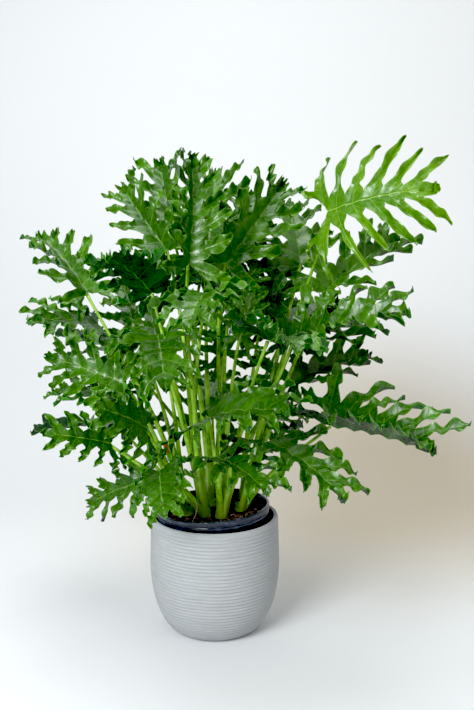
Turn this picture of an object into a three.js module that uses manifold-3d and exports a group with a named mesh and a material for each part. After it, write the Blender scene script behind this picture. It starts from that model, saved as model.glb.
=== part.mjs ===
// A split-leaf philodendron (Philodendron selloum) in a black grower's pot, which stands
// in a round grey planter. Millimetres, +Z up, origin at the centre of the planter's flat
// foot, with the plant's front towards -Y.
import * as THREE from 'three';
import { mergeVertices } from 'three/addons/utils/BufferGeometryUtils.js';
import Module from 'manifold-3d';

const wasm = await Module();
wasm.setup();

const UP = new THREE.Vector3(0, 0, 1);
const RADIANS = Math.PI / 180;

// ---- Driving dimensions ----

const PLANTER = {
  radius: 157, // outside, at its widest
  height: 285,
  footRadius: 85, // flat foot that it stands on
  bowlHeight: 170, // the rounded bottom's height
  wall: 13,
  floor: 26,
  rimRadius: 154, // outside, where the rounded shoulder ends
  rimInnerRadius: 143,
  rimEdge: 2, // how far the rim's inner edge lies below its top
  rimDepth: 40, // how far down the wall thins towards the rim
  shoulder: [5, 14], // the rounded rim's width and height
  innerFootRadius: 70,
  innerBowlHeight: 190, // where the rounded bottom ends inside
  sides: 32,
};

const GROWER_POT = {
  rimRadius: 137,
  bodyRadius: 132, // of the tapered wall, at the rim's height
  baseRadius: 98,
  height: 266,
  wall: 3,
  floor: 4,
  lip: 12, // height of the turned rim
  groove: 4,
  band: 9, // height of the second band under the groove
  step: 3, // how far the bands stand out
  bevel: 4, // at the foot
  edge: 1, // of the lip and bands
  baseAt: [9, 0, 42.5],
  tilt: 3, // degrees, right side up
  sides: 32,
};

const SOIL = {
  top: 243, // above the grower's pot's base
  fit: 0.4, // gap to the pot's floor
  sideFit: 1.4, // gap to the pot's wall
  holeFit: 0.4, // gap round each stem
  holeDepth: 14,
};

const STEM = {
  sides: 10,
  below: 12, // how far it stands in the soil
  above: 26,
  taper: 0.75,
};

const STALK = {
  sides: 5,
  steps: 5,
  base: 8.5, // radius where it leaves the stem
  end: 3.4, // radius under the blade
  slimming: 1.6, // how early it thins: 1 is an even taper
  gap: 0.8, // to the blade that it carries
  root: 4, // how far above the soil it starts
  spread: 0.35, // how far off the stem's axis, as a share of its radius
  uprightness: 0.6, // how much steeper than its chord it sets out
  droop: 0.25, // how much flatter it arrives
  lean: 0.25, // how much it arrives along the midrib
  lift: 0.35, // how much it arrives towards the blade's upper face
  lowerHandle: 0.36, // the curve's two handles, as shares of the chord
  upperHandle: 0.28,
  wander: 6,
};

// Lengths here are shares of the blade's length, from its hub to its tip.
const BLADE = {
  thickness: 0.9, // in millimetres
  fold: 20, // degrees
  arch: 30, // degrees
  sag: 0.35, // how much both halves bend down again towards the margin
  terminal: 0.82, // where the end lobe starts
  shoulder: [0.92, 0.08], // the end lobe's corner: along, and to the side
  belly: 0.93, // where the end lobe is widest
  cup: 0.01, // how far its sides turn up
  basalRib: 0.22, // length of the rib behind the hub
  basalLean: 124, // degrees from the midrib
};

const LOBE = {
  count: 6, // on each side of the midrib, with the basal ones
  basal: 2,
  reach: 0.5, // the longest lobe, as a share of the blade's length
  halfWidth: 0.056, // as a share of the blade's length
  lastWidth: 0.85, // of the last basal lobe, as a share of the others'
  cut: 0.24, // where the cuts between lobes end, as a share of a lobe's length
  basalCut: 0.4, // the least for the basal ones
  free: 0.4, // where a lobe starts to bend and wave, as a share of its length
  notch: 0.04, // how far each cut bites back towards the rib
  lean: 78, // degrees from the midrib, at the hub
  leanDrop: 42, // how much less it is at the tip
  basalLean: 104,
  basalLeanStep: 42,
  shortening: 0.5, // how much shorter the lobes get towards the tip
  shorteningPower: 1.4,
  basalReach: 0.9, // as a share of the longest lobe
  basalReachStep: 0.24,
  hook: 0.12, // how far each lobe's end turns forward
  curl: 0.18, // how much its end turns down
  ruffle: 0.4, // depth of the margin's waves, as a share of the lobe's half width
  sway: 0.07, // how far the margin's bulges shift along the lobe
};

// The margin's bulges: how far they lie from the cut to the lobe's tip, and how wide it is.
const SHORT_MARGIN = [{ at: 0.47, width: 0.95, sway: 1 }];
const LONG_MARGIN = [{ at: 0.29, width: 1, sway: 1 }, { at: 0.74, width: 0.8, sway: -1 }];

// How much the lobes differ, at most, from the plan.
const VARIATION = { lean: 4, reach: 0.1, width: 0.15, lift: 0.2, curl: 0.14, twist: 0.7 };

// Where each stem stands on the soil, and how thick it is there.
const STEMS = {
  left: { at: [-66, 2], radius: 18 },
  middle: { at: [-22, -20], radius: 15 },
  front: { at: [16, -34], radius: 16 },
  right: { at: [62, 14], radius: 17 },
  back: { at: [-4, 56], radius: 18 },
};

// Each frond: the stem that it grows from, the hub where its stalk meets the blade, the tip
// of the blade, the way its upper face looks, and what sets its form apart. Lobes are counted
// on one side. Fold lifts both halves from the midrib and arch bends the midrib down, in
// degrees. Broad and slim scale the lobes' length and width. Cut is where the cuts between
// the lobes end. Bow pushes the middle of the stalk aside.
const FRONDS = [
  ['left', [-300, 20, 820], [-440, 160, 950], [0.5, -0.8, 0.5],
    { broad: 0.9, fold: 30, bow: [30, -60, 0] }],
  ['left', [-280, 80, 730], [-410, -140, 770], [0.6, -0.4, 0.9],
    { broad: 0.8, fold: 10, bow: [0, -30, 0] }],
  ['left', [-190, 150, 680], [-250, 300, 830], [-0.2, -0.8, 0.5]],
  ['middle', [-140, -50, 825], [-220, -250, 920], [-0.1, 0.5, 0.8],
    { broad: 1.05, cut: 0.4, bow: [0, -40, 0] }],
  ['middle', [-110, 0, 920], [-230, 150, 1070], [-0.3, -0.9, 0.4],
    { broad: 0.95, fold: 35, bow: [-10, -40, 0] }],
  ['back', [-100, 150, 930], [-150, 340, 1140], [-0.2, -0.8, 0.6], { fold: 30, arch: 10 }],
  ['middle', [-50, -150, 900], [-50, -50, 1140], [0.5, -0.9, 0.3], { lobes: 7, broad: 0.8, fold: 40 }],
  ['back', [-20, 50, 880], [0, 250, 1110], [0.1, -0.9, 0.4], { fold: 35 }],
  ['front', [30, -10, 890], [170, 180, 1080], [0.4, -0.7, 0.5],
    { broad: 0.9, fold: 40, bow: [0, -30, 0] }],
  ['front', [40, -30, 800], [110, 30, 890], [0.3, -0.6, 0.6]],
  ['right', [120, 110, 760], [170, 260, 910], [0.3, -0.7, 0.6]],
  ['front', [60, -130, 730], [90, -110, 840], [0.2, -0.9, 0.4], { broad: 1.15, fold: 0 }],
  ['right', [260, -60, 1010], [490, -160, 1060], [0, -0.9, 0.4],
    { lobes: 7, broad: 1.25, slim: 0.65, fold: 10, arch: 45, cut: 0.16, bow: [0, 30, 0] }],
  ['right', [210, 110, 880], [180, 330, 1030], [0.2, -0.8, 0.5], { bow: [0, -50, 0] }],
  ['right', [260, 60, 815], [470, 190, 940], [-0.4, -0.8, 0.6], { fold: 40, bow: [0, -30, 0] }],
  ['front', [180, -30, 710], [430, -180, 795], [0, -0.5, 0.8], { lobes: 7, broad: 0.9, fold: 35 }],
  ['right', [190, 120, 580], [400, 220, 640], [0, -0.6, 0.8], { fold: 40 }],
  ['right', [270, -50, 515], [480, -250, 500], [0.1, -0.3, 1],
    { lobes: 7, broad: 1.35, fold: 50, arch: 15, cut: 0.3 }],
  ['right', [130, -150, 500], [280, -330, 420], [0.4, -0.7, 0.6]],
  ['left', [-210, -60, 620], [-400, 10, 670], [-0.3, -0.8, 0.4], { bow: [0, -20, 0] }],
  ['left', [-240, 40, 560], [-410, 110, 560], [0.1, -0.4, 0.9], { broad: 0.9 }],
  ['middle', [-240, -80, 480], [-380, -180, 530], [-0.3, -0.9, 0.4],
    { broad: 0.85, slim: 0.85, bow: [0, -40, 0] }],
  ['left', [-150, -60, 390], [-310, 20, 300], [-0.4, -0.7, 0.4], { broad: 0.85 }],
  ['middle', [-120, -135, 430], [-100, -260, 360], [-0.2, -1, 0.3],
    { broad: 1.1, slim: 1.4, fold: 10, cut: 0.5 }],
  ['front', [-10, -180, 560], [160, -340, 610], [0, -0.5, 0.9], { broad: 1.15, cut: 0.45 }],
  ['front', [20, 30, 670], [-30, 40, 810], [0.3, -0.9, 0.5], { broad: 1.1 }],
  ['middle', [-120, -150, 740], [-90, -330, 650], [0, -0.6, 0.9], { broad: 1.15, cut: 0.35 }],
  ['front', [10, -170, 470], [120, -350, 440], [0.2, -0.6, 0.7]],
  ['left', [-120, 40, 640], [-170, 190, 780], [-0.2, -0.9, 0.6], { broad: 1.15 }],
  ['front', [120, -220, 740], [170, -440, 750], [0.4, -0.4, 0.8], { fold: 30 }],
  ['back', [60, 240, 890], [90, 420, 1060], [0.3, -0.8, 0.5], { broad: 0.9 }],
  ['left', [-150, -140, 530], [-250, -280, 610], [0.1, -0.8, 0.5], { fold: 10, cut: 0.35 }],
  ['middle', [-10, -220, 840], [-40, -440, 790], [-0.2, -0.5, 0.8], { bow: [-40, 0, 0] }],
  ['right', [200, 180, 680], [410, 400, 690], [0, -0.4, 1]],
  ['back', [-240, 230, 630], [-390, 440, 670], [-0.2, 0.3, 0.9], { fold: 10, bow: [40, 0, 0] }],
  ['back', [-40, 230, 820], [-30, 460, 980], [0.2, 0.7, 0.7]],
  ['back', [180, 180, 720], [350, 410, 750], [0.3, 0.4, 0.8]],
  ['back', [-10, 200, 480], [-20, 400, 560], [0, -0.8, 0.6], { broad: 1.2 }],
  ['back', [110, 180, 470], [210, 350, 480], [0.2, -0.8, 0.6], { broad: 1.2 }],
  ['left', [-230, 130, 460], [-450, 310, 410], [-0.4, 0.4, 0.9]],
].map(([stem, hub, tip, face, form], i) => (
  { name: String(i + 1).padStart(2, '0'), stem, hub, tip, face, ...form }));

// The one young frond, which is paler than the rest.
const YOUNG_FROND = '13';

// ---- Solids ----

/** A closed geometry with shared vertices, from points and triangles. */
function geometryOf(points, triangles) {
  const geometry = new THREE.BufferGeometry();
  geometry.setAttribute('position', new THREE.Float32BufferAttribute(points.flat(), 3));
  geometry.setIndex(triangles.flat());
  return geometry;
}

/** The manifold solid of a closed geometry. */
function solidOf(geometry) {
  const bare = geometry.clone();
  bare.deleteAttribute('normal');
  bare.deleteAttribute('uv');
  const merged = mergeVertices(bare, 1e-4);
  return new wasm.Manifold(new wasm.Mesh({
    numProp: 3,
    vertProperties: new Float32Array(merged.attributes.position.array),
    triVerts: new Uint32Array(merged.index.array),
  }));
}

/** The geometry of a manifold solid. */
function geometryFrom(solid) {
  const mesh = solid.getMesh();
  const geometry = new THREE.BufferGeometry();
  geometry.setAttribute('position', new THREE.BufferAttribute(mesh.vertProperties, 3));
  geometry.setIndex(new THREE.BufferAttribute(mesh.triVerts, 1));
  return geometry;
}

/** A turned solid: the profile's points are [radius, height], from the axis back to it. */
function turned(profile, sides) {
  const points = profile.map(([r, z]) => new THREE.Vector2(r, z));
  return new THREE.LatheGeometry(points, sides).rotateX(Math.PI / 2);
}

/** Points on a quarter of an ellipse, from angle start to angle end in degrees. */
function arc(centre, radii, start, end, steps) {
  return Array.from({ length: steps + 1 }, (_, i) => {
    const angle = (start + ((end - start) * i) / steps) * RADIANS;
    return [centre[0] + radii[0] * Math.cos(angle), centre[1] + radii[1] * Math.sin(angle)];
  });
}

/** A repeatable number from -1 to 1. */
function jitter(seed, index) {
  const value = Math.sin(seed * 12.9898 + index * 78.233) * 43758.5453;
  return 2 * (value - Math.floor(value)) - 1;
}

// ---- Pots and soil ----

function planterGeometry() {
  const p = PLANTER;
  const inner = p.radius - p.wall;
  const [shoulderWidth, shoulderHeight] = p.shoulder;
  const shoulderCentre = [p.rimRadius - shoulderWidth, p.height - shoulderHeight];
  const bowl = [p.radius - p.footRadius, p.bowlHeight];
  const innerBowl = [inner - p.innerFootRadius, p.innerBowlHeight - p.floor];
  return turned([
    [0, 0],
    ...arc([p.footRadius, p.bowlHeight], bowl, -90, 0, 6),
    ...arc(shoulderCentre, p.shoulder, 15, 90, 2),
    [p.rimInnerRadius, p.height - p.rimEdge],
    [inner, p.height - p.rimDepth],
    ...arc([p.innerFootRadius, p.innerBowlHeight], innerBowl, 0, -90, 4),
    [0, p.floor],
  ], p.sides);
}

/** The radius of the grower's pot's outside at a height above its base. */
function growerPotRadius(height) {
  const p = GROWER_POT;
  return p.baseRadius + ((p.bodyRadius - p.baseRadius) * height) / p.height;
}

function growerPotGeometry() {
  const p = GROWER_POT;
  const lipFoot = p.height - p.lip;
  const bandTop = lipFoot - p.groove;
  const bandFoot = bandTop - p.band;
  return turned([
    [0, 0],
    [p.baseRadius - p.bevel, 0],
    [p.baseRadius, p.bevel],
    [growerPotRadius(bandFoot), bandFoot],
    [p.rimRadius - p.edge, bandFoot + p.edge],
    [p.rimRadius - p.edge, bandTop],
    [p.rimRadius - p.step, bandTop + p.edge / 2],
    [p.rimRadius - p.step, lipFoot],
    [p.rimRadius, lipFoot + p.edge / 2],
    [p.rimRadius, p.height - 2 * p.edge],
    [p.rimRadius - 2 * p.edge, p.height],
    [p.rimRadius - p.step - p.wall, p.height - p.edge],
    [growerPotRadius(bandFoot) - p.wall, bandFoot],
    [p.baseRadius - p.wall, p.floor],
    [0, p.floor],
  ], p.sides);
}

/** The soil inside the grower's pot, before the stems' holes. */
function soilGeometry() {
  const inset = GROWER_POT.wall + SOIL.sideFit;
  const foot = GROWER_POT.floor + SOIL.fit;
  return turned([
    [0, foot],
    [growerPotRadius(foot) - inset, foot],
    [growerPotRadius(SOIL.top) - inset, SOIL.top],
    [0, SOIL.top],
  ], GROWER_POT.sides);
}

/** Where the grower's pot's own frame stands in the planter. */
function growerPotMatrix() {
  const tilt = new THREE.Quaternion().setFromAxisAngle(
    new THREE.Vector3(0, -1, 0), GROWER_POT.tilt * RADIANS);
  return new THREE.Matrix4().compose(
    new THREE.Vector3(...GROWER_POT.baseAt), tilt, new THREE.Vector3(1, 1, 1));
}

/** The soil's height under a point of the plan. */
function soilHeight([x, y]) {
  const matrix = growerPotMatrix();
  const point = new THREE.Vector3(0, 0, SOIL.top).applyMatrix4(matrix);
  const normal = UP.clone().transformDirection(matrix);
  return point.z - ((x - point.x) * normal.x + (y - point.y) * normal.y) / normal.z;
}

/** An upright prism round a stem: its radius at the foot and top, and its two heights. */
function stemPrism(stem, footRadius, topRadius, foot, top) {
  const geometry = new THREE.CylinderGeometry(topRadius, footRadius, top - foot, STEM.sides);
  return geometry.rotateX(Math.PI / 2).translate(stem.at[0], stem.at[1], (foot + top) / 2);
}

// ---- Blades ----

/** The points of the ribs that one side's lobes start between, tip first: along and across. */
function ribKnots(side, onMidrib) {
  const knots = [];
  for (let i = 0; i <= onMidrib; i += 1) {
    knots.push([BLADE.terminal * (1 - i / onMidrib), 0]);
  }
  const lean = BLADE.basalLean * RADIANS;
  for (let i = 1; i <= LOBE.basal; i += 1) {
    const out = (BLADE.basalRib * i) / LOBE.basal;
    knots.push([out * Math.cos(lean), side * out * Math.sin(lean)]);
  }
  return knots;
}

/** The lobes on one side, tip first, each with its start, cut, aim, size and bends. */
function lobePlan(frond, side) {
  const count = frond.lobes ?? LOBE.count;
  const onMidrib = count - LOBE.basal;
  const knots = ribKnots(side, onMidrib);
  const draw = Number(frond.name) * 2 + (side > 0 ? 0 : 1);
  const lobes = [];
  for (let i = 0; i < count; i += 1) {
    const start = [(knots[i][0] + knots[i + 1][0]) / 2, (knots[i][1] + knots[i + 1][1]) / 2];
    const basal = i - onMidrib;
    let lean = LOBE.lean - LOBE.leanDrop * start[0];
    let reach = 1 - LOBE.shortening * Math.max(0, start[0]) ** LOBE.shorteningPower;
    let width = LOBE.halfWidth * (frond.slim ?? 1);
    let cut = frond.cut ?? LOBE.cut;
    if (basal >= 0) {
      cut = Math.max(cut, LOBE.basalCut);
      lean = LOBE.basalLean + LOBE.basalLeanStep * basal;
      reach = LOBE.basalReach - LOBE.basalReachStep * basal;
    }
    if (i === count - 1) width *= LOBE.lastWidth;
    lobes.push({
      side,
      start,
      cut,
      angle: (lean + VARIATION.lean * jitter(draw, i)) * RADIANS,
      reach: LOBE.reach * (frond.broad ?? 1) * reach * (1 + VARIATION.reach * jitter(draw, i + 10)),
      width: width * (1 + VARIATION.width * jitter(draw, i + 20)),
      lift: VARIATION.lift * jitter(draw, i + 30),
      curl: LOBE.curl + VARIATION.curl * jitter(draw, i + 40),
      twist: VARIATION.twist * jitter(draw, i + 50),
      ruffle: jitter(draw, i + 60),
    });
  }
  return { knots, lobes };
}

/** The place in space of a point of the flat blade: along, across and off it, as shares. */
function bladeFrame(frond) {
  const hub = new THREE.Vector3(...frond.hub);
  const chord = new THREE.Vector3(...frond.tip).sub(hub);
  const arch = (frond.arch ?? BLADE.arch) * RADIANS;
  const length = (chord.length() * arch) / 2 / Math.sin(arch / 2);
  const ahead = chord.clone().normalize();
  const face = new THREE.Vector3(...frond.face);
  face.addScaledVector(ahead, -face.dot(ahead)).normalize();
  const left = face.clone().cross(ahead);
  const forward = ahead.clone().multiplyScalar(Math.cos(arch / 2));
  forward.addScaledVector(face, Math.sin(arch / 2));
  const normal = face.clone().multiplyScalar(Math.cos(arch / 2));
  normal.addScaledVector(ahead, -Math.sin(arch / 2));
  const fold = (frond.fold ?? BLADE.fold) * RADIANS;
  const place = (along, across, off) => {
    const out = Math.abs(across);
    const turn = arch * along;
    const rise = out * Math.sin(fold) - BLADE.sag * out * out + off;
    const radius = 1 / arch + rise;
    const point = hub.clone();
    point.addScaledVector(forward, length * radius * Math.sin(turn));
    point.addScaledVector(normal, length * (radius * Math.cos(turn) - 1 / arch));
    return point.addScaledVector(left, length * across * Math.cos(fold));
  };
  return { hub, forward, normal, length, place };
}

/** A point of a lobe: t runs along its vein and lateral across it, as a share of its width. */
function lobePoint(lobe, t, lateral) {
  const dir = [Math.cos(lobe.angle), lobe.side * Math.sin(lobe.angle)];
  const out = lobe.reach * t;
  const hook = LOBE.hook * lobe.reach * t * t;
  const half = lobe.width * lateral;
  const along = lobe.start[0] + dir[0] * out + hook + lobe.side * dir[1] * half;
  const across = lobe.start[1] + dir[1] * out - lobe.side * dir[0] * half;
  const free = Math.max(0, (t - LOBE.free) / (1 - LOBE.free));
  const bend = lobe.reach * (1 - LOBE.free) * free * (lobe.lift - lobe.curl * free);
  const wave = LOBE.ruffle * lobe.ruffle * Math.cos(2 * Math.PI * t) * Math.min(1, 3 * free);
  return [along, across, bend + half * (Math.sin(lobe.twist) * free + wave)];
}

/** Halfway between two points of the flat blade. */
function midway(a, b) {
  return [(a[0] + b[0]) / 2, (a[1] + b[1]) / 2];
}

/** The bottoms of the cuts on both sides of each lobe, tip first. */
function valleyPoints(side, knots, lobes) {
  const [along, out] = BLADE.shoulder;
  const [first, last] = [lobes[0], lobes[lobes.length - 1]];
  const valleys = [[...midway(lobePoint(first, first.cut, 0), [along, side * out]), 0]];
  for (let i = 1; i < lobes.length; i += 1) {
    const cut = Math.min(lobes[i - 1].cut, lobes[i].cut);
    const bottom = midway(lobePoint(lobes[i - 1], cut, 0), lobePoint(lobes[i], cut, 0));
    valleys.push([...bottom.map((v, axis) => v + LOBE.notch * (knots[i][axis] - v)), 0]);
  }
  valleys.push(lobePoint(last, last.cut, -1));
  return valleys;
}

/** The middle surface of a blade: its points in space and its triangles, seen from above. */
function bladeSurface(frond) {
  const { place } = bladeFrame(frond);
  const points = [];
  const triangles = [];
  const add = (flat) => points.push(place(...flat)) - 1;
  const cell = (a, b, c, d, side) => {
    if (side > 0) triangles.push([d, c, b], [d, b, a]);
    else triangles.push([b, c, d], [a, b, d]);
  };
  const midrib = [];
  const endValleys = [];
  for (const side of [1, -1]) {
    const { knots, lobes } = lobePlan(frond, side);
    const onMidrib = lobes.length - LOBE.basal;
    const ids = knots.map((knot, i) => {
      if (i > onMidrib) return add([...knot, 0]);
      midrib[i] ??= add([...knot, 0]);
      return midrib[i];
    });
    const valleys = valleyPoints(side, knots, lobes).map(add);
    endValleys.push(valleys[0]);
    lobes.forEach((lobe, i) => {
      cell(ids[i], ids[i + 1], valleys[i + 1], valleys[i], side);
      let [far, near] = [valleys[i], valleys[i + 1]];
      const margin = i === 0 || i >= onMidrib ? SHORT_MARGIN : LONG_MARGIN;
      for (const row of margin) {
        const at = lobe.cut + (1 - lobe.cut) * row.at;
        const sway = LOBE.sway * lobe.ruffle * row.sway;
        const nextFar = add(lobePoint(lobe, at + sway, row.width));
        const nextNear = add(lobePoint(lobe, at - sway, -row.width));
        cell(far, near, nextNear, nextFar, side);
        [far, near] = [nextFar, nextNear];
      }
      const tip = add(lobePoint(lobe, 1, 0));
      triangles.push(side > 0 ? [tip, near, far] : [far, near, tip]);
    });
  }
  const middle = add([BLADE.belly, 0, 0]);
  const bellies = [1, -1].map((side) => add([BLADE.belly, side * LOBE.halfWidth, BLADE.cup]));
  const tip = add([1, 0, 0]);
  cell(middle, midrib[0], endValleys[0], bellies[0], 1);
  cell(middle, midrib[0], endValleys[1], bellies[1], -1);
  triangles.push([middle, tip, bellies[0]], [bellies[1], tip, middle]);
  return { points, triangles };
}

/** The closed blade: its middle surface given a thickness, split alike on both faces. */
function bladeGeometry(frond) {
  const { points, triangles } = bladeSurface(frond);
  const normals = points.map(() => new THREE.Vector3());
  const edges = new Map();
  for (const [a, b, c] of triangles) {
    const normal = points[b].clone().sub(points[a]).cross(points[c].clone().sub(points[a]));
    for (const corner of [a, b, c]) normals[corner].add(normal);
    for (const [from, to] of [[a, b], [b, c], [c, a]]) edges.set(`${from}_${to}`, [from, to]);
  }
  const count = points.length;
  const half = BLADE.thickness / 2;
  const vertices = [half, -half].flatMap((off) => points.map((point, i) => point.clone()
    .addScaledVector(normals[i].clone().normalize(), off).toArray()));
  const faces = triangles.flatMap(([a, b, c]) => [[a, b, c], [c + count, b + count, a + count]]);
  for (const [from, to] of edges.values()) {
    if (!edges.has(`${to}_${from}`)) {
      faces.push([to, from, from + count], [to, from + count, to + count]);
    }
  }
  return geometryOf(vertices, faces);
}

// ---- Stalks ----

/** The stalk's line, from inside its stem to just under its blade. */
function stalkCurve(frond) {
  const stem = STEMS[frond.stem];
  const { hub, normal, forward } = bladeFrame(frond);
  const start = new THREE.Vector3(...stem.at, soilHeight(stem.at) + STALK.root);
  const away = hub.clone().sub(start);
  const reach = away.length();
  const outward = new THREE.Vector3(away.x, away.y, 0).normalize();
  start.addScaledVector(outward, stem.radius * STALK.spread);
  away.normalize();
  const rise = away.clone().addScaledVector(UP, STALK.uprightness).normalize();
  const arrive = away.clone().addScaledVector(UP, -STALK.droop)
    .addScaledVector(forward, STALK.lean).addScaledVector(normal, STALK.lift).normalize();
  const slant = Math.sqrt(1 - arrive.dot(normal) ** 2);
  const below = BLADE.thickness / 2 + STALK.gap + STALK.end * slant;
  const end = hub.clone().addScaledVector(normal, -below);
  const bow = new THREE.Vector3(...(frond.bow ?? [0, 0, 0]));
  const lower = start.clone().addScaledVector(rise, reach * STALK.lowerHandle).add(bow);
  const upper = end.clone().addScaledVector(arrive, -reach * STALK.upperHandle).add(bow);
  lower.x += STALK.wander * jitter(Number(frond.name), 70);
  lower.y += STALK.wander * jitter(Number(frond.name), 71);
  return new THREE.CubicBezierCurve3(start, lower, upper, end);
}

/** A closed round bar along a curve, thinner towards its end. */
function stalkGeometry(frond) {
  const curve = stalkCurve(frond);
  const points = [];
  const faces = [];
  const across = curve.getTangent(0).cross(new THREE.Vector3(0, 1, 0)).normalize();
  for (let i = 0; i <= STALK.steps; i += 1) {
    const t = i / STALK.steps;
    const tangent = curve.getTangent(t);
    across.addScaledVector(tangent, -across.dot(tangent)).normalize();
    const other = tangent.clone().cross(across);
    const radius = STALK.end + (STALK.base - STALK.end) * (1 - t) ** STALK.slimming;
    for (let j = 0; j < STALK.sides; j += 1) {
      const angle = (2 * Math.PI * j) / STALK.sides;
      const point = curve.getPoint(t).addScaledVector(across, radius * Math.cos(angle));
      points.push(point.addScaledVector(other, radius * Math.sin(angle)).toArray());
    }
  }
  const id = (i, j) => i * STALK.sides + (j % STALK.sides);
  for (let i = 0; i < STALK.steps; i += 1) {
    for (let j = 0; j < STALK.sides; j += 1) {
      faces.push([id(i, j), id(i, j + 1), id(i + 1, j + 1)]);
      faces.push([id(i, j), id(i + 1, j + 1), id(i + 1, j)]);
    }
  }
  for (let j = 1; j < STALK.sides - 1; j += 1) {
    faces.push([id(0, 0), id(0, j + 1), id(0, j)]);
    faces.push([id(STALK.steps, 0), id(STALK.steps, j), id(STALK.steps, j + 1)]);
  }
  return geometryOf(points, faces);
}

/** One plant's stem with all its stalks, grown together. */
function stemGeometry(name) {
  const stem = STEMS[name];
  const soil = soilHeight(stem.at);
  const prism = stemPrism(stem, stem.radius, stem.radius * STEM.taper,
    soil - STEM.below, soil + STEM.above);
  let solid = solidOf(prism);
  for (const frond of FRONDS.filter((each) => each.stem === name)) {
    solid = solid.add(solidOf(stalkGeometry(frond)));
  }
  return geometryFrom(solid);
}

/** The soil with a plain hole for each stem. */
function plantedSoilGeometry() {
  let solid = solidOf(soilGeometry().applyMatrix4(growerPotMatrix()));
  for (const stem of Object.values(STEMS)) {
    const soil = soilHeight(stem.at);
    const radius = stem.radius + SOIL.holeFit;
    const hole = stemPrism(stem, radius, radius, soil - SOIL.holeDepth, soil + STEM.above);
    solid = solid.subtract(solidOf(hole));
  }
  return geometryFrom(solid);
}

// ---- The object ----

const MATERIALS = {
  planter: { color: 0xaaaeb0, roughness: 0.85, metalness: 0 },
  growerPot: { color: 0x14161a, roughness: 0.35, metalness: 0 },
  soil: { color: 0x3d2a1c, roughness: 1, metalness: 0 },
  stalk: { color: 0x7fa53a, roughness: 0.45, metalness: 0 },
  blade: { color: 0x1f5a22, roughness: 0.35, metalness: 0 },
  youngBlade: { color: 0x5c9a2a, roughness: 0.4, metalness: 0 },
};

const group = new THREE.Group();

function addMesh(name, geometry, finish) {
  const mesh = new THREE.Mesh(geometry, new THREE.MeshStandardMaterial(MATERIALS[finish]));
  mesh.name = name;
  group.add(mesh);
  return mesh;
}

addMesh('planter', planterGeometry(), 'planter');
addMesh('grower_pot', growerPotGeometry(), 'growerPot').applyMatrix4(growerPotMatrix());
addMesh('soil', plantedSoilGeometry(), 'soil');
for (const name of Object.keys(STEMS)) {
  addMesh(`stalks_${name}`, stemGeometry(name), 'stalk');
}
for (const frond of FRONDS) {
  const finish = frond.name === YOUNG_FROND ? 'youngBlade' : 'blade';
  addMesh(`blade_${frond.name}`, bladeGeometry(frond), finish);
}

export default group;
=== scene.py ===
"""A split-leaf philodendron in a black grower's pot, which stands in a round grey planter.

Sizes in the classes are in millimetres and the meshes are in metres. The plant's front is
towards -Y, and the origin is the centre of the planter's flat foot.
"""

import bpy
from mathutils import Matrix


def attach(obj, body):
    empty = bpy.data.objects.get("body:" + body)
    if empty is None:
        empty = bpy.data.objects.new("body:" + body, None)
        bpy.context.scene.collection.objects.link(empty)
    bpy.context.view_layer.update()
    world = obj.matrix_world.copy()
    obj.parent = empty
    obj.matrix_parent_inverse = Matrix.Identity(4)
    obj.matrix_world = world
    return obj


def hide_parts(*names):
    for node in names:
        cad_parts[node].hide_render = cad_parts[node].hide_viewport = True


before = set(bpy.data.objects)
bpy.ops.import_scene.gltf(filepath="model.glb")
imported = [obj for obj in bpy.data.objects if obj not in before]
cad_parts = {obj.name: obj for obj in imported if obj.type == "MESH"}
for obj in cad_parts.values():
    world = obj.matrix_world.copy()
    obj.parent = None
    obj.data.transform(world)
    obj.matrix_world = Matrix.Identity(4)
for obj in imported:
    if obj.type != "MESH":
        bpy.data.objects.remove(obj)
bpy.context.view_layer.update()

import logging
import math
import random
from collections.abc import Callable, Iterable
from dataclasses import dataclass, field
from enum import Enum, IntEnum

import bmesh
import bpy
from mathutils import Matrix, Vector, noise

log = logging.getLogger("philodendron")

MM = 0.001  # a millimetre in metres
WELD = 2e-6  # metres, for points that were made twice
UP = Vector((0, 0, 1))
TURN = 2 * math.pi
BODY = "root"
LOBE_UNIT = 100  # millimetres for one unit of the lobes' own map
STALK_MAP = "stalk"
JITTER_FACTORS = (12.9898, 78.233, 43758.5453)  # uneven, so that near seeds give unlike numbers

Pair = tuple[float, float]
Triple = tuple[float, float, float]
Curve = tuple[Vector, Vector, Vector, Vector]  # the four points of a cubic curve
Ring = tuple[Vector, Vector, Vector]  # a place on a curve and two directions across it


def jitter(seed: float, index: float) -> float:
    """Give a repeatable number from -1 to 1.

    Args:
        seed: Which run of numbers.
        index: Which number of that run.

    Returns:
        The number.
    """
    by_seed, by_index, spread = JITTER_FACTORS
    value = math.sin(seed * by_seed + index * by_index) * spread
    return 2 * (value - math.floor(value)) - 1


class Draw(IntEnum):
    """Which of a seed's numbers a trait takes, before its lobe's or edge's own is added."""

    LEAN = 0
    REACH = 10
    WIDTH = 20
    LIFT = 30
    CURL = 40
    TWIST = 50
    RUFFLE = 60
    BULGE_PHASE = 0
    FRILLS = 3
    CHANNEL = 4
    BULGES = 5
    BULGE = 9
    WANDER = 70


def lerp(a: float, b: float, share: float) -> float:
    """Return the number a share of the way from a to b."""
    return a + (b - a) * share


def ease(share: float) -> float:
    """Return a share from 0 to 1 with a soft start and end, held between them."""
    share = min(1.0, max(0.0, share))
    return share * share * (3 - 2 * share)


def bump(value: float, width: float) -> float:
    """Return a soft bump's height, 1 where the value is 0 and next to nothing past its width."""
    return math.exp(-((value / width) ** 2))


def profile_at(table: tuple[Pair, ...], at: float) -> float:
    """Read a table between its rows.

    Args:
        table: Rows of a place and its value, by rising place.
        at: The place.

    Returns:
        The value there.
    """
    for (t0, v0), (t1, v1) in zip(table, table[1:]):
        if at <= t1:
            return lerp(v0, v1, (at - t0) / (t1 - t0))
    return table[-1][1]


# ---- Meshes ----


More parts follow.
